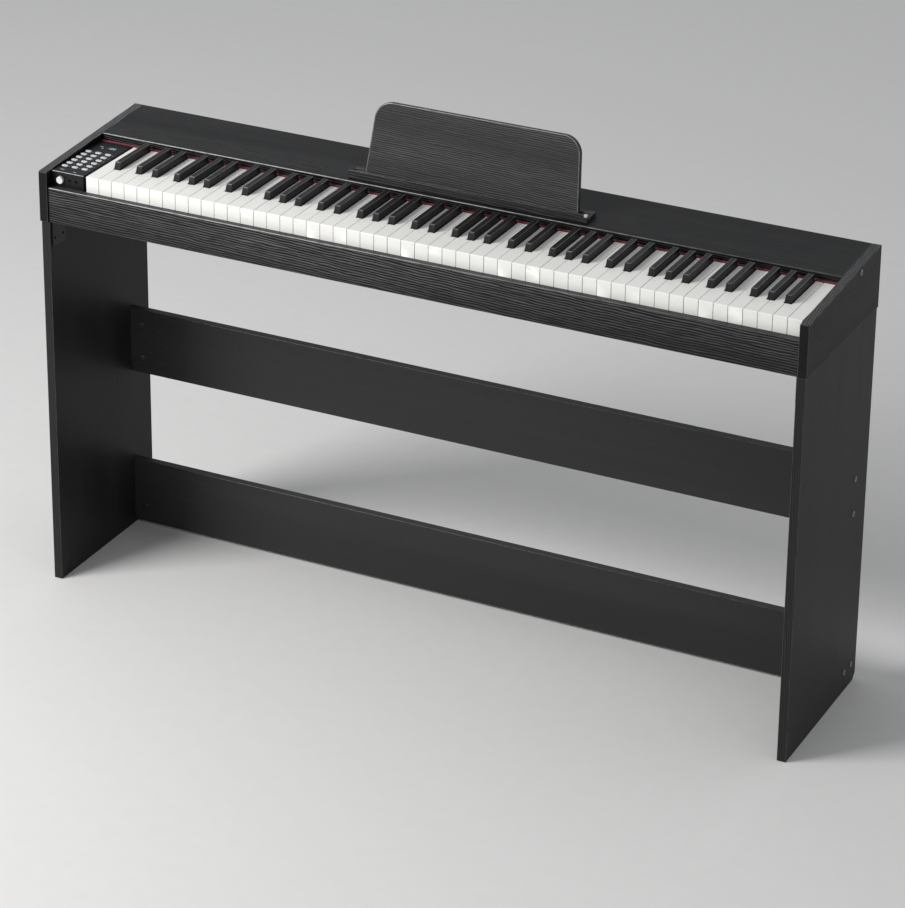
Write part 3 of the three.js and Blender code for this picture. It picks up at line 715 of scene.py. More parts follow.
# %% [markdown]
# ### Key slip
# The board in front of the keys is the one that faces the player, with the strongest grain lines, partly
# painted glints. It is a plain board with a slightly softer front edge, which carries a painted highlight.

# %% Key slip
slip_low, slip_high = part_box("key_slip")
slip_edge_zone = 1.2 * mm
# The front top edge takes the bright front-edge finish: a painted highlight, fading towards the right.
board("key_slip", slip_laminate, edge=1.1 * mm,
      chosen=lambda face: face.center.y < slip_low.y + slip_edge_zone
      and face.center.z > slip_high.z - slip_edge_zone)

# %% [markdown]
# ### Legs, rails and foot shelf
# Each leg is one board, 646 mm high, with its lower rear corner cut off so that it doesn't scrape a
# skirting. Two rails tie the legs together. Bolts come through the legs into barrel nuts, which show as
# small round ends on the front of the rails.

# %% Legs
leg_chamfer = 10 * mm


def cut_rear_corner(piece, low, high):
    pick_edges(piece, (1, 0, 0), lambda middle: middle.y > 0 and middle.z < mm)
    bpy.ops.mesh.bevel(offset=leg_chamfer, segments=1, affect="EDGES")


for side, sign in (("left", -1), ("right", 1)):
    low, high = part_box(side + "_leg")
    outer = (low.x if sign < 0 else high.x) + sign * bolt_proud
    holes = [bolt_hole(sign, outer, y, z) for y, z in leg_bolts.values()]
    board(side + "_leg", leg_laminate, shape=cut_rear_corner, holes=holes)

# %% Rails and shelf, drilled for the nuts
rail_nuts = {"mid_rail": ("rail_bolt_upper", "rail_bolt_lower"), "foot_rail": ("foot_bolt_front",),
             "foot_shelf": ("foot_bolt_rear",)}
leg_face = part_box("right_leg")[1].x + bolt_proud
for node, names in rail_nuts.items():
    nuts = [nut_hole(name, sign) for name in names for sign in (-1, 1)]
    piece = board(node, rail_laminate, holes=nuts)
    cut(piece, [bolt_hole(sign, sign * leg_face, *leg_bolts[name]) for name in names for sign in (-1, 1)])
    smooth(piece)

# %% [markdown]
# ## Bolts and barrel nuts
# A furniture bolt has a low round head with a hexagon socket. We turn one, drill its socket, and copy it to
# each place. The barrel nut is a short rod with a screwdriver slot that shows which way its thread faces.

# %% One bolt at the origin, its head to +X
def model_bolt():
    piece = start_rod("bolt", bolt_head_radius, (-bolt_head_height, 0, 0), (0, 0, 0), sides=32)
    pick_faces(piece, (-1, 0, 0))
    bpy.ops.mesh.inset(thickness=bolt_head_radius - bolt_shank_radius)
    extrude((-(bolt_length - bolt_head_height), 0, 0))
    bpy.ops.transform.resize(value=(1, 0.8, 0.8))
    cut(piece, [start_rod("socket", 2.3 * mm, (-2.1 * mm, 0, 0), (mm, 0, 0), sides=6)])
    round_edges(piece, 0.4 * mm, segments=3)
    smooth(piece)
    return piece


bolt_model = model_bolt()
print("bolt faces:", len(bolt_model.data.polygons))


# %% One barrel nut, its slotted end to -Y
def model_nut():
    piece = start_rod("nut", nut_radius, (0, 0, 0), (0, nut_length, 0), sides=32)
    round_edges(piece, 0.5 * mm, segments=2)
    slot = start_box("slot", (-nut_radius * 2, -mm, -0.6 * mm), (nut_radius * 2, 1.2 * mm, 0.6 * mm))
    cut(piece, [slot])
    smooth(piece)
    return piece


nut_model = model_nut()
print("nut faces:", len(nut_model.data.polygons))

# %% Bolts and nuts in their places
for side, sign in (("left", -1), ("right", 1)):
    turn = (0, 0, math.pi if sign < 0 else 0)
    cheek_outer = (left_cheek_low.x if sign < 0 else right_cheek_high.x) + sign * bolt_proud
    screw_place = (cheek_outer, cheek_screw_y, cheek_screw_z)
    screw = copy_of(bolt_model, side + "_cheek_screw_turned", screw_place, turn)
    dress(screw, main_body, bolt_steel, [side + "_cheek_screw"])
    for name, (y, z) in leg_bolts.items():
        bolt = copy_of(bolt_model, f"{side}_{name}_turned", (sign * leg_face, y, z), turn)
        dress(bolt, main_body, bolt_steel, [f"{side}_{name}"])
        mouth, inward = nut_line(name, sign)
        upright = (math.pi / 2 if inward.z else 0, 0, 0)
        nut = copy_of(nut_model, f"{side}_{name}_nut", mouth + inward * nut_recess, upright)
        dress(nut, main_body, bolt_steel, [f"{side}_{name}"])
for model in (bolt_model, nut_model):
    bpy.data.objects.remove(model)
print("bolts, screws and nuts placed")

# %% [markdown]
# ## Steel angles
# Four black angles hold the cabinet on its legs. Each is a folded strip: a flat plate whose edge strip is
# extruded down, with the outer fold rounded and two holes in each flange.

# %% One angle from its CAD node's box
angle_sheet = 2 * mm
angle_hole_radius, angle_hole_inset, angle_hole_drop = 2.5 * mm, 6 * mm, 30 * mm


def steel_angle(node):
    low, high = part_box(node)
    sign = -1 if low.x < 0 else 1
    corner = low.x if sign < 0 else high.x
    piece = start_box(node + "_folded", (low.x, low.y, high.z - angle_sheet), high)
    fold = corner - sign * angle_sheet
    slice_at(piece, (fold, 0, 0), (1, 0, 0))
    pick_faces(piece, (0, 0, -1), lambda middle: (middle.x - fold) * sign > 0)
    extrude((0, 0, low.z - (high.z - angle_sheet)))
    pick_edges(piece, (0, 1, 0), lambda middle: abs(middle.x - corner) < touch and middle.z > high.z - touch)
    bpy.ops.mesh.bevel(offset=1.8 * mm, segments=4, affect="EDGES")
    spots = (low.y + angle_hole_inset, high.y - angle_hole_inset)
    z = high.z - angle_hole_drop
    x = corner - sign * angle_hole_drop
    ends = [((corner - 5 * mm * sign, y, z), (corner + mm * sign, y, z)) for y in spots]
    ends += [((x, y, high.z - 5 * mm), (x, y, high.z + mm)) for y in spots]
    tools = [start_rod("hole", angle_hole_radius, start, end, 24) for start, end in ends]
    cut(piece, tools)
    round_edges(piece, 0.3 * mm, segments=2)
    smooth(piece)
    dress(piece, main_body, powder_coat, [node])
    return piece


angle_nodes = [f"{side}_{end}_bracket" for side in ("left", "right") for end in ("front", "rear")]
for node in angle_nodes:
    steel_angle(node)
print("steel angles:", len(angle_nodes))

# %% [markdown]
# ## The keys
# A white key is a hollow moulding with a thick top and a front lip. The black keys stand in notches in the
# white ones, a different notch for each note of the octave, so we model nine white shapes and one black,
# and copy them 88 times. Behind the visible part, each key has a narrow arm that runs back under the cover
# to its hinge.

# %% Sizes of the keyboard
white_pitch, white_gap = 23.5 * mm, 1.0 * mm
key_front, white_back, key_top = -132.5 * mm, 14.5 * mm, 730 * mm
white_bottom, lip_bottom, lip_thickness = 714 * mm, 703 * mm, 3 * mm
black_front, black_back, black_top, black_bottom = -82.5 * mm, 12.5 * mm, 742 * mm, 716 * mm
black_width, notch_air = 11 * mm, 1.25 * mm
arm_width, arm_height, arm_back, hanger_depth = 8 * mm, 6.4 * mm, 90.5 * mm, 12 * mm
arm_level = {0: 700 * mm, 1: 707 * mm, 2: 714 * mm}
black_shift = {0: -3 * mm, 1: 3 * mm, 3: -4 * mm, 4: 0.0, 5: 4 * mm}
white_count, octave = 52, 7
keys_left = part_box("white_keys_inner_1")[0].x - white_gap / 2
outer_steps = (0, 2, 4, 6)


def step_of(white):
    return (white - 2 + octave) % octave


def black_centre(white):
    """Where the black key after a white one stands, or None."""
    if 0 <= white < white_count - 1 and step_of(white) in black_shift:
        return keys_left + (white + 1) * white_pitch + black_shift[step_of(white)]
    return None


print("keyboard from", round(keys_left, 4), "to", round(keys_left + white_count * white_pitch, 4))


# %% The arm behind a key
def key_arm(x, level, start_y, reach_up):
    z = arm_level[level]
    left, right = x - arm_width / 2, x + arm_width / 2
    piece = start_box("arm", (left, start_y - hanger_depth, z), (right, arm_back, z + arm_height))
    if reach_up > z + arm_height:
        slice_at(piece, (0, start_y, 0), (0, 1, 0))
        pick_faces(piece, (0, 0, 1), lambda middle: middle.y < start_y)
        extrude((0, 0, reach_up - z - arm_height))
    only(piece)
    return piece


# %% A white key with its notches
def model_white(white):
    left = keys_left + white * white_pitch + white_gap / 2
    right = left + white_pitch - white_gap
    piece = start_box("white_key", (left, key_front, white_bottom), (right, white_back, key_top))
    slice_at(piece, (0, key_front + lip_thickness, 0), (0, 1, 0))
    pick_faces(piece, (0, 0, -1), lambda middle: middle.y < key_front + lip_thickness)
    extrude((0, 0, lip_bottom - white_bottom))
    half = black_width / 2 + notch_air
    spots = [x for x in (black_centre(white - 1), black_centre(white)) if x is not None]
    if spots:
        tools = [start_box("notch", (x - half, black_front - notch_air, white_bottom - mm),
                           (x + half, white_back + mm, key_top + mm)) for x in spots]
        cut(piece, tools)
    middle = (left + right) / 2
    tail_left = max([left] + [x + half for x in spots if x < middle])
    tail_right = min([right] + [x - half for x in spots if x > middle])
    level = 2 if step_of(white) in outer_steps else 1
    weld(piece, key_arm((tail_left + tail_right) / 2, level, white_back, white_bottom + 2 * mm))
    pick_edges(piece, (1, 0, 0), lambda m: m.y < key_front + touch and m.z > key_top - touch)
    bpy.ops.mesh.bevel(offset=1.1 * mm, segments=4, affect="EDGES")
    round_edges(piece, 0.45 * mm, segments=3)
    smooth(piece)
    return piece


# %% [markdown]
# A black key narrows to its top, its front slopes back, and its upper edges are well rounded. The top face
# of the box is scaled in, its front edge moves back, and the upper edges get a wide bevel before the fine
# one.

# %% A black key
black_top_width, black_front_slope = 9.4 * mm, 4 * mm


def model_black(white):
    x = black_centre(white)
    left, right = x - black_width / 2, x + black_width / 2
    piece = start_box("black_key", (left, black_front, black_bottom), (right, black_back, black_top))
    slice_at(piece, (0, 0, key_top), (0, 0, 1))
    pick_faces(piece, (0, 0, 1))
    bpy.ops.transform.resize(value=(black_top_width / black_width, 1, 1))
    pick_edges(piece, (1, 0, 0), lambda m: m.y < black_front + touch and m.z > black_top - touch)
    bpy.ops.transform.translate(value=(0, black_front_slope, 0))
    # The wide bevels below take the lighter edge finish: a painted highlight along the top edges.
    for finish in (black_plastic, black_edge_highlight):
        piece.data.materials.append(finish)
    pick_edges(piece, (0, 1, 0), lambda m: m.z > black_top - touch)
    bpy.ops.mesh.bevel(offset=1.0 * mm, segments=4, affect="EDGES", material=1)
    front_edge = black_front + black_front_slope + mm
    pick_edges(piece, (1, 0, 0), lambda m: m.y < front_edge and m.z > black_top - touch)
    bpy.ops.mesh.bevel(offset=1.0 * mm, segments=4, affect="EDGES", material=1)
    weld(piece, key_arm(x, 0, black_back, black_bottom + 2 * mm))
    round_edges(piece, 0.35 * mm, segments=2, angle=50)
    smooth(piece)
    return piece


# %% 52 white keys
def section_of(white):
    return min(7, max(1, (white - 2) // octave + 1))


white_models = {}
for white in range(white_count):
    step = step_of(white)
    shape = {0: "lowest", white_count - 1: "highest"}.get(white, step)
    node = f"white_keys_{'outer' if step in outer_steps else 'inner'}_{section_of(white)}"
    if shape not in white_models:
        white_models[shape] = (white, model_white(white))
        print("white shape", shape, "faces:", len(white_models[shape][1].data.polygons))
    first, model = white_models[shape]
    key = copy_of(model, f"white_key_{white + 1:02d}", ((white - first) * white_pitch, 0, 0))
    dress(key, node, white_plastic, [node])
for first, model in white_models.values():
    bpy.data.objects.remove(model)

# %% 36 black keys
sharps = [white for white in range(white_count) if black_centre(white) is not None]
black_model = model_black(sharps[0])
for number, white in enumerate(sharps, 1):
    node = f"black_keys_{section_of(white)}"
    offset = (black_centre(white) - black_centre(sharps[0]), 0, 0)
    key = copy_of(black_model, f"black_key_{number:02d}", offset)
    dress(key, node, black_plastic, [node])
bpy.data.objects.remove(black_model)
print("keys:", white_count, "white and", len(sharps), "black")

# %% [markdown]
# ## Felt strip
# A soft strip closes the gap between the keys and the cover. A finely divided box, its surface pushed in
# and out a little by noise, has the uneven nap that a sharp box lacks.

# %% Felt with an uneven nap
felt_low, felt_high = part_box("key_felt")
felt = start_box("felt_strip", felt_low, felt_high)
felt_slices = 220
for index in range(1, felt_slices):
    x = felt_low.x + (felt_high.x - felt_low.x) * index / felt_slices
    slice_at(felt, (x, 0, 0), (1, 0, 0))
bpy.ops.object.mode_set(mode="OBJECT")
round_edges(felt, 1.2 * mm, segments=3)
nap = bpy.data.textures.new("nap", "CLOUDS")
nap.noise_scale = 0.004
apply_modifier(felt, "DISPLACE", texture=nap, strength=0.5 * mm, mid_level=0.75)
smooth(felt, 80)
dress(felt, main_body, red_felt, ["key_felt"])
print("felt faces:", len(felt.data.polygons))

# %% [markdown]
# ## Control panel
# The panel is a thin moulded box, open below, with eighteen oval holes in its top, and a hole for the knob
# and two phone sockets in its front. Insetting and extruding the bottom face hollows it, as the mould does.

# %% Panel places
panel_low, panel_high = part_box("panel_housing")
panel_wall, buttons_per_row, button_pitch = 2.5 * mm, 6, 14.3 * mm
first_button_y = key_front + 24 * mm
button_length, button_width, button_air = 11.5 * mm, 6 * mm, 0.4 * mm
row_boxes = {row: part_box(f"button_row_{row}") for row in (1, 2, 3)}
row_x = {row: (low.x + high.x) / 2 for row, (low, high) in row_boxes.items()}
knob_low, knob_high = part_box("volume_knob")
knob_x, knob_z = (knob_low.x + knob_high.x) / 2, (knob_low.z + knob_high.z) / 2
socket_xs = (knob_x + 16 * mm, knob_x + 28 * mm)
button_places = [(row, index, row_x[row], first_button_y + index * button_pitch)
                 for row in row_x for index in range(buttons_per_row)]
print("buttons:", len(button_places))


# %% A pill: half of a cylinder's sides pulled each way
def pill(name, x, y, low_z, high_z, grow=0.0):
    piece = start_rod(name, button_width / 2 + grow, (x, y, low_z), (x, y, high_z), sides=24)
    straight = (button_length - button_width) / 2
    for sign in (-1, 1):
        pick(piece, "VERT", lambda corner: (corner.co.x - x) * sign > 0.01 * mm)
        bpy.ops.transform.translate(value=(sign * straight, 0, 0))
    only(piece)
    return piece


# %% The housing
display_x, display_y = -607 * mm, -9.5 * mm
display_half_x, display_half_y, display_depth = 9 * mm, 5 * mm, 0.8 * mm
front_hole_radius, panel_edge_zone = 2 * mm, 0.9 * mm


def model_panel():
    piece = start_box("panel_moulding", panel_low, panel_high)
    pick_faces(piece, (0, 0, -1))
    bpy.ops.mesh.inset(thickness=panel_wall)
    extrude((0, 0, panel_high.z - panel_wall - panel_low.z))
    pick_edges(piece, (0, 0, 1), lambda m: min(abs(m.x - panel_low.x), abs(m.x - panel_high.x)) < touch)
    bpy.ops.mesh.bevel(offset=1.0 * mm, segments=3, affect="EDGES")
    pick_faces(piece, (0, 0, 1), lambda m: m.z > panel_high.z - touch)
    bpy.ops.mesh.bevel(offset=0.9 * mm, segments=3, affect="EDGES")
    holes = [pill("hole", x, y, panel_high.z - 4 * mm, panel_high.z + mm, button_air)
             for row, index, x, y in button_places]
    holes += [start_rod("hole", front_hole_radius, (x, panel_low.y - mm, knob_z),
                        (x, panel_low.y + 4 * mm, knob_z)) for x in (knob_x, *socket_xs)]
    holes.append(start_box("hole", (display_x - display_half_x, display_y - display_half_y,
                                    panel_high.z - display_depth),
                           (display_x + display_half_x, display_y + display_half_y, panel_high.z + mm)))
    cut(piece, holes)
    smooth(piece)
    return piece


panel = model_panel()
panel.data.materials.append(panel_plastic)
panel.data.materials.append(front_edge_highlight)
# The front top edge takes the bright front-edge finish: a painted highlight, fading towards the right.
for face in panel.data.polygons:
    if face.center.y < panel_low.y + panel_edge_zone and face.center.z > panel_high.z - panel_edge_zone:
        face.material_index = 1
dress(panel, main_body, panel_plastic, ["panel_housing"])
print("panel faces:", len(panel.data.polygons))

# %% [markdown]
# Six buttons of a row are moulded on one rubber strip, which hides under the panel. Each button has a soft
# domed top: its top face is inset and raised, and the edges are rounded.

# %% One button, copied to its eighteen places
button_proud = 1.5 * mm
button_foot = row_boxes[1][0].z + 1.4 * mm


def model_button(x, y):
    top = panel_high.z + button_proud
    piece = pill("button", x, y, button_foot, top - 0.5 * mm)
    pick_faces(piece, (0, 0, 1))
    bpy.ops.mesh.bevel(offset=0.5 * mm, segments=3, affect="EDGES")
    pick_faces(piece, (0, 0, 1))
    bpy.ops.mesh.inset(thickness=1.0 * mm)
    bpy.ops.transform.translate(value=(0, 0, 0.5 * mm))
    smooth(piece, 60)
    return piece


button_x, button_y = row_x[1], first_button_y
button_model = model_button(button_x, button_y)
for row, index, x, y in button_places:
    node = f"button_row_{row}"
    button = copy_of(button_model, f"button_{row}_{index + 1}", (x - button_x, y - button_y, 0))
    dress(button, node, button_rubber, [node])
bpy.data.objects.remove(button_model)
print("button faces:", len(button.data.polygons))

# %% The rubber strips under the buttons
strip_half_width = 4 * mm
for row, (low, high) in row_boxes.items():
    strip = start_box(f"button_strip_{row}", low, (high.x, high.y, button_foot + mm))
    strip_middle = (low.x + high.x) / 2
    for sign in (-1, 1):
        pick_faces(strip, (sign, 0, 0))
        side_now = low.x if sign < 0 else high.x
        bpy.ops.transform.translate(value=(strip_middle + sign * strip_half_width - side_now, 0, 0))
    round_edges(strip, 0.5 * mm)
    smooth(strip)
    dress(strip, f"button_row_{row}", button_rubber, [f"button_row_{row}"])
print("rubber strips:", len(row_boxes))

# %% [markdown]
# ## Knob, sockets, display and marks
# The volume knob is a small silver cap with fine flutes and a raised pointer. Next to it are two phone
# sockets, each with a thin ring. The display is a dark window with three plain digits.

# %% Knob with flutes
knob_radius, knob_length, shaft_radius, flute_count, flute_depth = 6 * mm, 5 * mm, 1.5 * mm, 24, 0.3 * mm
pointer_half, pointer_proud = 0.35 * mm, 0.3 * mm


def model_knob():
    cap_front, cap_back = knob_low.y, knob_low.y + knob_length
    piece = start_rod("volume_knob_cap", knob_radius, (knob_x, cap_back, knob_z), (knob_x, cap_front, knob_z),
                      sides=3 * flute_count)
    pick_faces(piece, (0, -1, 0))
    bpy.ops.mesh.bevel(offset=0.5 * mm, segments=3, affect="EDGES")
    only(piece)
    for face in piece.data.polygons:
        turn = math.atan2(face.center.z - knob_z, face.center.x - knob_x) / math.tau * flute_count
        face.select = abs(face.normal.y) < 0.1 and abs(turn - round(turn)) < 0.2
    bpy.ops.object.mode_set(mode="EDIT")
    bpy.ops.mesh.inset(thickness=0.05 * mm, depth=-flute_depth, use_individual=True)
    pick_faces(piece, (0, 1, 0), lambda m: m.y > cap_back - touch)
    bpy.ops.mesh.inset(thickness=knob_radius - shaft_radius)
    extrude((0, knob_high.y - cap_back, 0))
    only(piece)
    pointer = start_box("pointer", (knob_x - pointer_half, cap_front - pointer_proud, knob_z + 1.2 * mm),
                        (knob_x + pointer_half, cap_front + 0.2 * mm, knob_z + knob_radius - 1.5 * mm))
    merge("volume_knob_cap", [piece, pointer])
    smooth(piece, 40)
    return piece


knob = model_knob()
dress(knob, "volume_knob", silver_paint, ["volume_knob"])
print("knob faces:", len(knob.data.polygons))


# %% Rings round the phone sockets
def socket_ring(name, centre, outward, outer_radius, inner_radius, proud):
    """A thin round collar whose face looks along outward."""
    centre, outward = Vector(centre), Vector(outward)
    piece = start_rod(name, outer_radius, centre, centre + outward * proud, sides=40)
    pick_faces(piece, outward)
    bpy.ops.mesh.inset(thickness=outer_radius - inner_radius)
    extrude(tuple(-outward * proud * 0.9))
    round_edges(piece, 0.15 * mm, segments=2)
    smooth(piece)
    return piece


ring_outer, ring_inner, ring_proud = 3.4 * mm, 2.1 * mm, 0.5 * mm
for index, x in enumerate(socket_xs, 1):
    ring = socket_ring(f"phone_socket_ring_{index}", (x, panel_low.y, knob_z), (0, -1, 0), ring_outer,
                       ring_inner, ring_proud)
    cut(ring, [start_rod("bore", front_hole_radius, (x, panel_low.y - 2 * mm, knob_z),
                         (x, panel_low.y + 2 * mm, knob_z))])
    dress(ring, main_body, panel_plastic)
print("socket rings:", len(socket_xs))

# %% The display window
glass_air, glass_drop = 0.1 * mm, 0.15 * mm
glass_half_x, glass_half_y = display_half_x - glass_air, display_half_y - glass_air
glass = start_box("display_window",
                  (display_x - glass_half_x, display_y - glass_half_y, panel_high.z - display_depth),
                  (display_x + glass_half_x, display_y + glass_half_y, panel_high.z - glass_drop))
round_edges(glass, 0.2 * mm)
smooth(glass)
dress(glass, main_body, display_glass)


# %% Three seven-segment digits
def lit_material():
    material, shader = new_material("lit_segment", (0.75, 0.78, 0.8), 0.4, Emission_Strength=0.35)
    glow = noise(material, place_coordinates(material), 600, detail=2)
    color = blend_colors(material, glow, (0.7, 0.74, 0.78), (0.85, 0.88, 0.9))
    connect(material, color, shader.inputs["Base Color"])
    connect(material, color, shader.inputs["Emission Color"])
    return material


lit_segment = lit_material()
digit_segments = {"1": "bc", "2": "abged", "0": "abcdef"}
digit_width, digit_height, digit_pitch, segment_thickness = 2.6 * mm, 5.2 * mm, 4.6 * mm, 0.55 * mm


def segment_bar(x, y, horizontal):
    long, thin = digit_width * 0.42, segment_thickness / 2
    half_x, half_y = (long, thin) if horizontal else (thin, long)
    z = panel_high.z - glass_drop
    bar = start_box("bar", (x - half_x, y - half_y, z), (x + half_x, y + half_y, z + 0.08 * mm))
    pick_edges(bar, (0, 0, 1))
    bpy.ops.mesh.bevel(offset=0.2 * mm, segments=1, affect="EDGES")
    only(bar)
    return bar


segment_places = {"a": (0, 1, True), "b": (1, 0.5, False), "c": (1, -0.5, False), "d": (0, -1, True),
                  "e": (-1, -0.5, False), "f": (-1, 0.5, False), "g": (0, 0, True)}
bars = []
for position, digit in enumerate("120"):
    centre_x = display_x + (position - 1) * digit_pitch
    for letter in digit_segments[digit]:
        across, up, horizontal = segment_places[letter]
        bars.append(segment_bar(centre_x + across * digit_width / 2, display_y + up * digit_height / 2,
                                horizontal))
digits = merge("display_digits", bars)
dress(digits, main_body, lit_segment)
print("display bars:", len(bars))


# %% Small printed marks beside the buttons
ink_sunk, ink_proud, spot_radius, spot_reach, dash_half_y = 0.02 * mm, 0.1 * mm, 0.55 * mm, 8.4 * mm, 0.5 * mm
dash_places = (
    (row_x[1] + 4 * mm, key_front + 9 * mm, 4 * mm), (row_x[2] + 10 * mm, key_front + 6 * mm, 3 * mm),
    (display_x - 19 * mm, display_y + 1 * mm, 3 * mm), (display_x - 15 * mm, display_y - 5 * mm, 2 * mm),
)


def printed_marks():
    low_z, high_z = panel_high.z - ink_sunk, panel_high.z + ink_proud
    marks = [start_rod("mark", spot_radius, (x + spot_reach, y, low_z), (x + spot_reach, y, high_z), sides=12)
             for row, index, x, y in button_places]
    for x, y, half_x in dash_places:
        dash = start_box("mark", (x - half_x, y - dash_half_y, low_z), (x + half_x, y + dash_half_y, high_z))
        pick_edges(dash, (0, 0, 1))
        bpy.ops.mesh.bevel(offset=0.35 * mm, segments=2, affect="EDGES")
        only(dash)
        marks.append(dash)
    return merge("panel_marks", marks)


marks = printed_marks()
dress(marks, main_body, pale_ink)
print("panel marks:", len(marks.data.polygons), "faces")

# %% [markdown]
# ## Music rest
# A long ledge with a lip lies on the cover, and a board with round top corners leans back in its groove.
# Both are modelled level, in their own small frame, and then turned with the cover's slope and moved into
# place.

# %% The rest's own frame
rest_x = 13 * mm
cover_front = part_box("top_cover")[0].y
rest_y = cover_front + 9 * mm
seat_gap = 0.3 * mm
rest_z = cover_plane(rest_y) + seat_gap
rest_lean = math.radians(18) - cheek_slope
rest_taper = math.radians(4.5)
ledge_length, ledge_depth, ledge_base, ledge_lip, lip_wall = 416 * mm, 34 * mm, 6 * mm, 14 * mm, 4 * mm
rest_width, rest_height, rest_thickness, rest_corner = 372 * mm, 120 * mm, 9 * mm, 30 * mm
board_foot, groove_floor = 15 * mm, 3 * mm


def stand_on_cover(piece):
    piece.rotation_euler = (cheek_slope, 0, 0)
    piece.location = (rest_x, rest_y, rest_z)
    settle(piece)


# %% Ledge: strips of its top pulled up and pushed down
def model_ledge():
    half = ledge_length / 2
    groove_wide = rest_thickness / math.cos(rest_lean) + 0.6 * mm
    piece = start_box("music_rest_ledge_board", (-half, 0, 0), (half, ledge_depth, ledge_base))
    for y in (lip_wall, board_foot, board_foot + groove_wide):
        slice_at(piece, (0, y, 0), (0, 1, 0))
    pick_faces(piece, (0, 0, 1), lambda m: m.y < lip_wall)
    extrude((0, 0, ledge_lip - ledge_base))
    pick_faces(piece, (0, 0, 1), lambda m: board_foot < m.y < board_foot + groove_wide)
    extrude((0, 0, groove_floor - ledge_base))
    pick_faces(piece, (0, 0, 1), lambda m: m.y > board_foot + groove_wide)
    extrude((0, 0, mm))
    wrap(piece, rest_laminate, 0.7 * mm)
    smooth(piece)
    stand_on_cover(piece)
    return piece


ledge = model_ledge()
dress(ledge, main_body, rest_laminate, ["music_rest_ledge"])
print("ledge faces:", len(ledge.data.polygons))


# %% A pale block at the right end of the lip
insert_length, insert_height, insert_proud = 5 * mm, 3.5 * mm, 0.3 * mm


def model_end_insert():
    end = ledge_length / 2
    piece = start_box("music_rest_end_insert",
                      (end - insert_length, -insert_proud, ledge_lip - insert_height),
                      (end + insert_proud, lip_wall + insert_proud, ledge_lip + insert_proud))
    round_edges(piece, 0.3 * mm)
    stand_on_cover(piece)
    return piece


end_insert = model_end_insert()
dress(end_insert, main_body, raw_edge, ["music_rest_ledge"])
print("end insert faces:", len(end_insert.data.polygons))


# %% Board: two edges rounded wide, all edges broken
def model_rest_board():
    half = rest_width / 2
    piece = start_box("music_rest_panel", (-half, 0, 0), (half, rest_thickness, rest_height))
    pick_faces(piece, (0, 0, 1))
    bpy.ops.transform.resize(value=(1 - rest_height * math.tan(rest_taper) / half, 1, 1))
    pick_edges(piece, (0, 1, 0), lambda m: m.z > rest_height / 2)
    corner_offset = rest_corner * math.tan((math.pi / 2 - rest_taper) / 2)
    bpy.ops.mesh.bevel(offset=corner_offset, segments=16, affect="EDGES")
    pick_faces(piece, (0, -1, 0))
    bpy.ops.mesh.inset(thickness=2.2 * mm)
    # The thin ring that the inset leaves round the front face takes the rim finish: a painted highlight line.
    wrap(piece, rest_laminate, 1.8 * mm, special=rest_rim_highlight,
         chosen=lambda face: face.normal.y < -0.9 and face.area < rest_width * 5 * mm)
    smooth(piece)
    rise = seat_gap + rest_thickness * math.sin(rest_lean)
    piece.rotation_euler = (-rest_lean, 0, 0)
    piece.location = (0, board_foot + seat_gap / math.cos(rest_lean) + rise * math.tan(rest_lean),
                      groove_floor + rise)
    settle(piece)
    stand_on_cover(piece)
    return piece


rest_panel = model_rest_board()
dress(rest_panel, main_body, rest_laminate, ["music_rest_board"])
print("music rest faces:", len(rest_panel.data.polygons))

# %% [markdown]
# ## What stays from the frame
# The keybed frame, the circuit boards, the socket plate and the speakers already have the right shape and
# are mostly hidden. They keep their CAD meshes and get real finishes.

# %% Finishes for the carried-over nodes
carried = {
    "key_frame": frame_plastic, "key_contact_board": circuit_green, "main_board": circuit_green,
    "rear_jack_plate": panel_plastic, "left_speaker": speaker_steel, "right_speaker": speaker_steel,
}
for node, material in carried.items():
    mesh = frame["nodes"][node].data
    mesh.materials.clear()
    mesh.materials.append(material)
print("carried-over nodes:", len(carried))

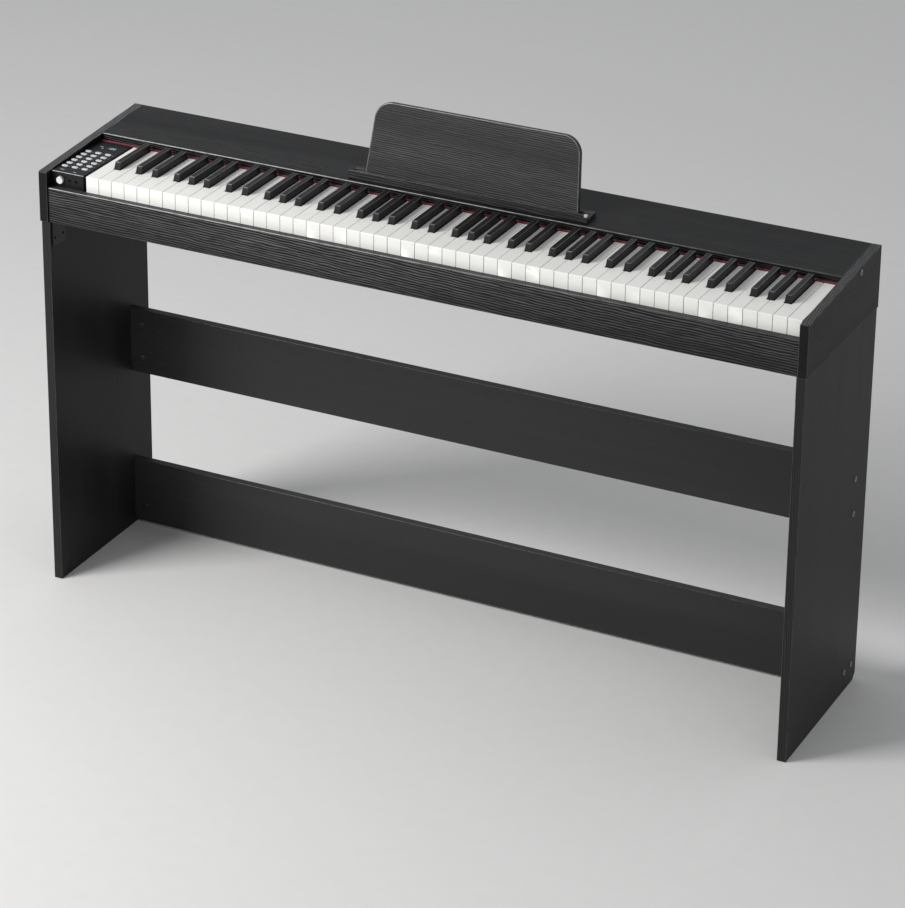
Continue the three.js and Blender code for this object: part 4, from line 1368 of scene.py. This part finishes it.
# %% [markdown]
# ## Stage, light and camera
# A wide pale floor, one large soft light high at the left front, and a pale sky that fills in the shadows.
# The levels are low enough that a colour renders about as it is written.

# %% Floor
def floor_material():
    material, shader = new_material("pale_floor", (0.74, 0.73, 0.72), 0.8)
    grit = noise(material, place_coordinates(material), 35, detail=5)
    color = blend_colors(material, grit, (0.72, 0.71, 0.695), (0.76, 0.75, 0.735))
    connect(material, color, shader.inputs["Base Color"])
    return material


bpy.ops.object.select_all(action="DESELECT")
bpy.ops.mesh.primitive_plane_add(size=60, location=(0, 0, 0))
floor = bpy.context.object
floor.name = "floor"
floor.data.materials.append(floor_material())
print("floor:", floor.name)


# %% Lights
def soft_light(name, place, aim, width, watts):
    lamp = bpy.data.lights.new(name, "AREA")
    lamp.shape = "SQUARE"
    lamp.size = width
    lamp.energy = watts
    holder = bpy.data.objects.new(name, lamp)
    bpy.context.scene.collection.objects.link(holder)
    holder.location = place
    holder.rotation_euler = (Vector(aim) - Vector(place)).to_track_quat("-Z", "Y").to_euler()
    return holder


piano_middle = (0, 0, 0.5)
soft_light("key_light", (-2.3, -2.35, 2.6), piano_middle, 1.6, 134)
world = bpy.data.worlds.new("pale_room")
bpy.context.scene.world = world
world.use_nodes = True
sky = world.node_tree.nodes["Background"]
sky.inputs["Color"].default_value = (0.9, 0.92, 0.95, 1)
sky.inputs["Strength"].default_value = 0.5
print("lights: 1 and the sky")

# %% Camera, at the viewing angle of the piece
camera_data = bpy.data.cameras.new("camera")
camera_data.lens = 143.79
camera_data.sensor_width = 36
camera_data.shift_y = -0.198
camera = bpy.data.objects.new("camera", camera_data)
bpy.context.scene.collection.objects.link(camera)
camera.location = (2.3130, -4.7008, 2.8593)
camera_target = Vector((-0.07514, 0.1675, 0.54848))
look = (camera_target - camera.location).to_track_quat("-Z", "Y")
camera_roll = 0.0111
camera.rotation_mode = "QUATERNION"
camera.rotation_quaternion = look @ Quaternion((0, 0, 1), camera_roll)
bpy.context.scene.camera = camera
bpy.context.scene.view_settings.view_transform = "Standard"
print("camera at", tuple(round(v, 2) for v in camera.location))
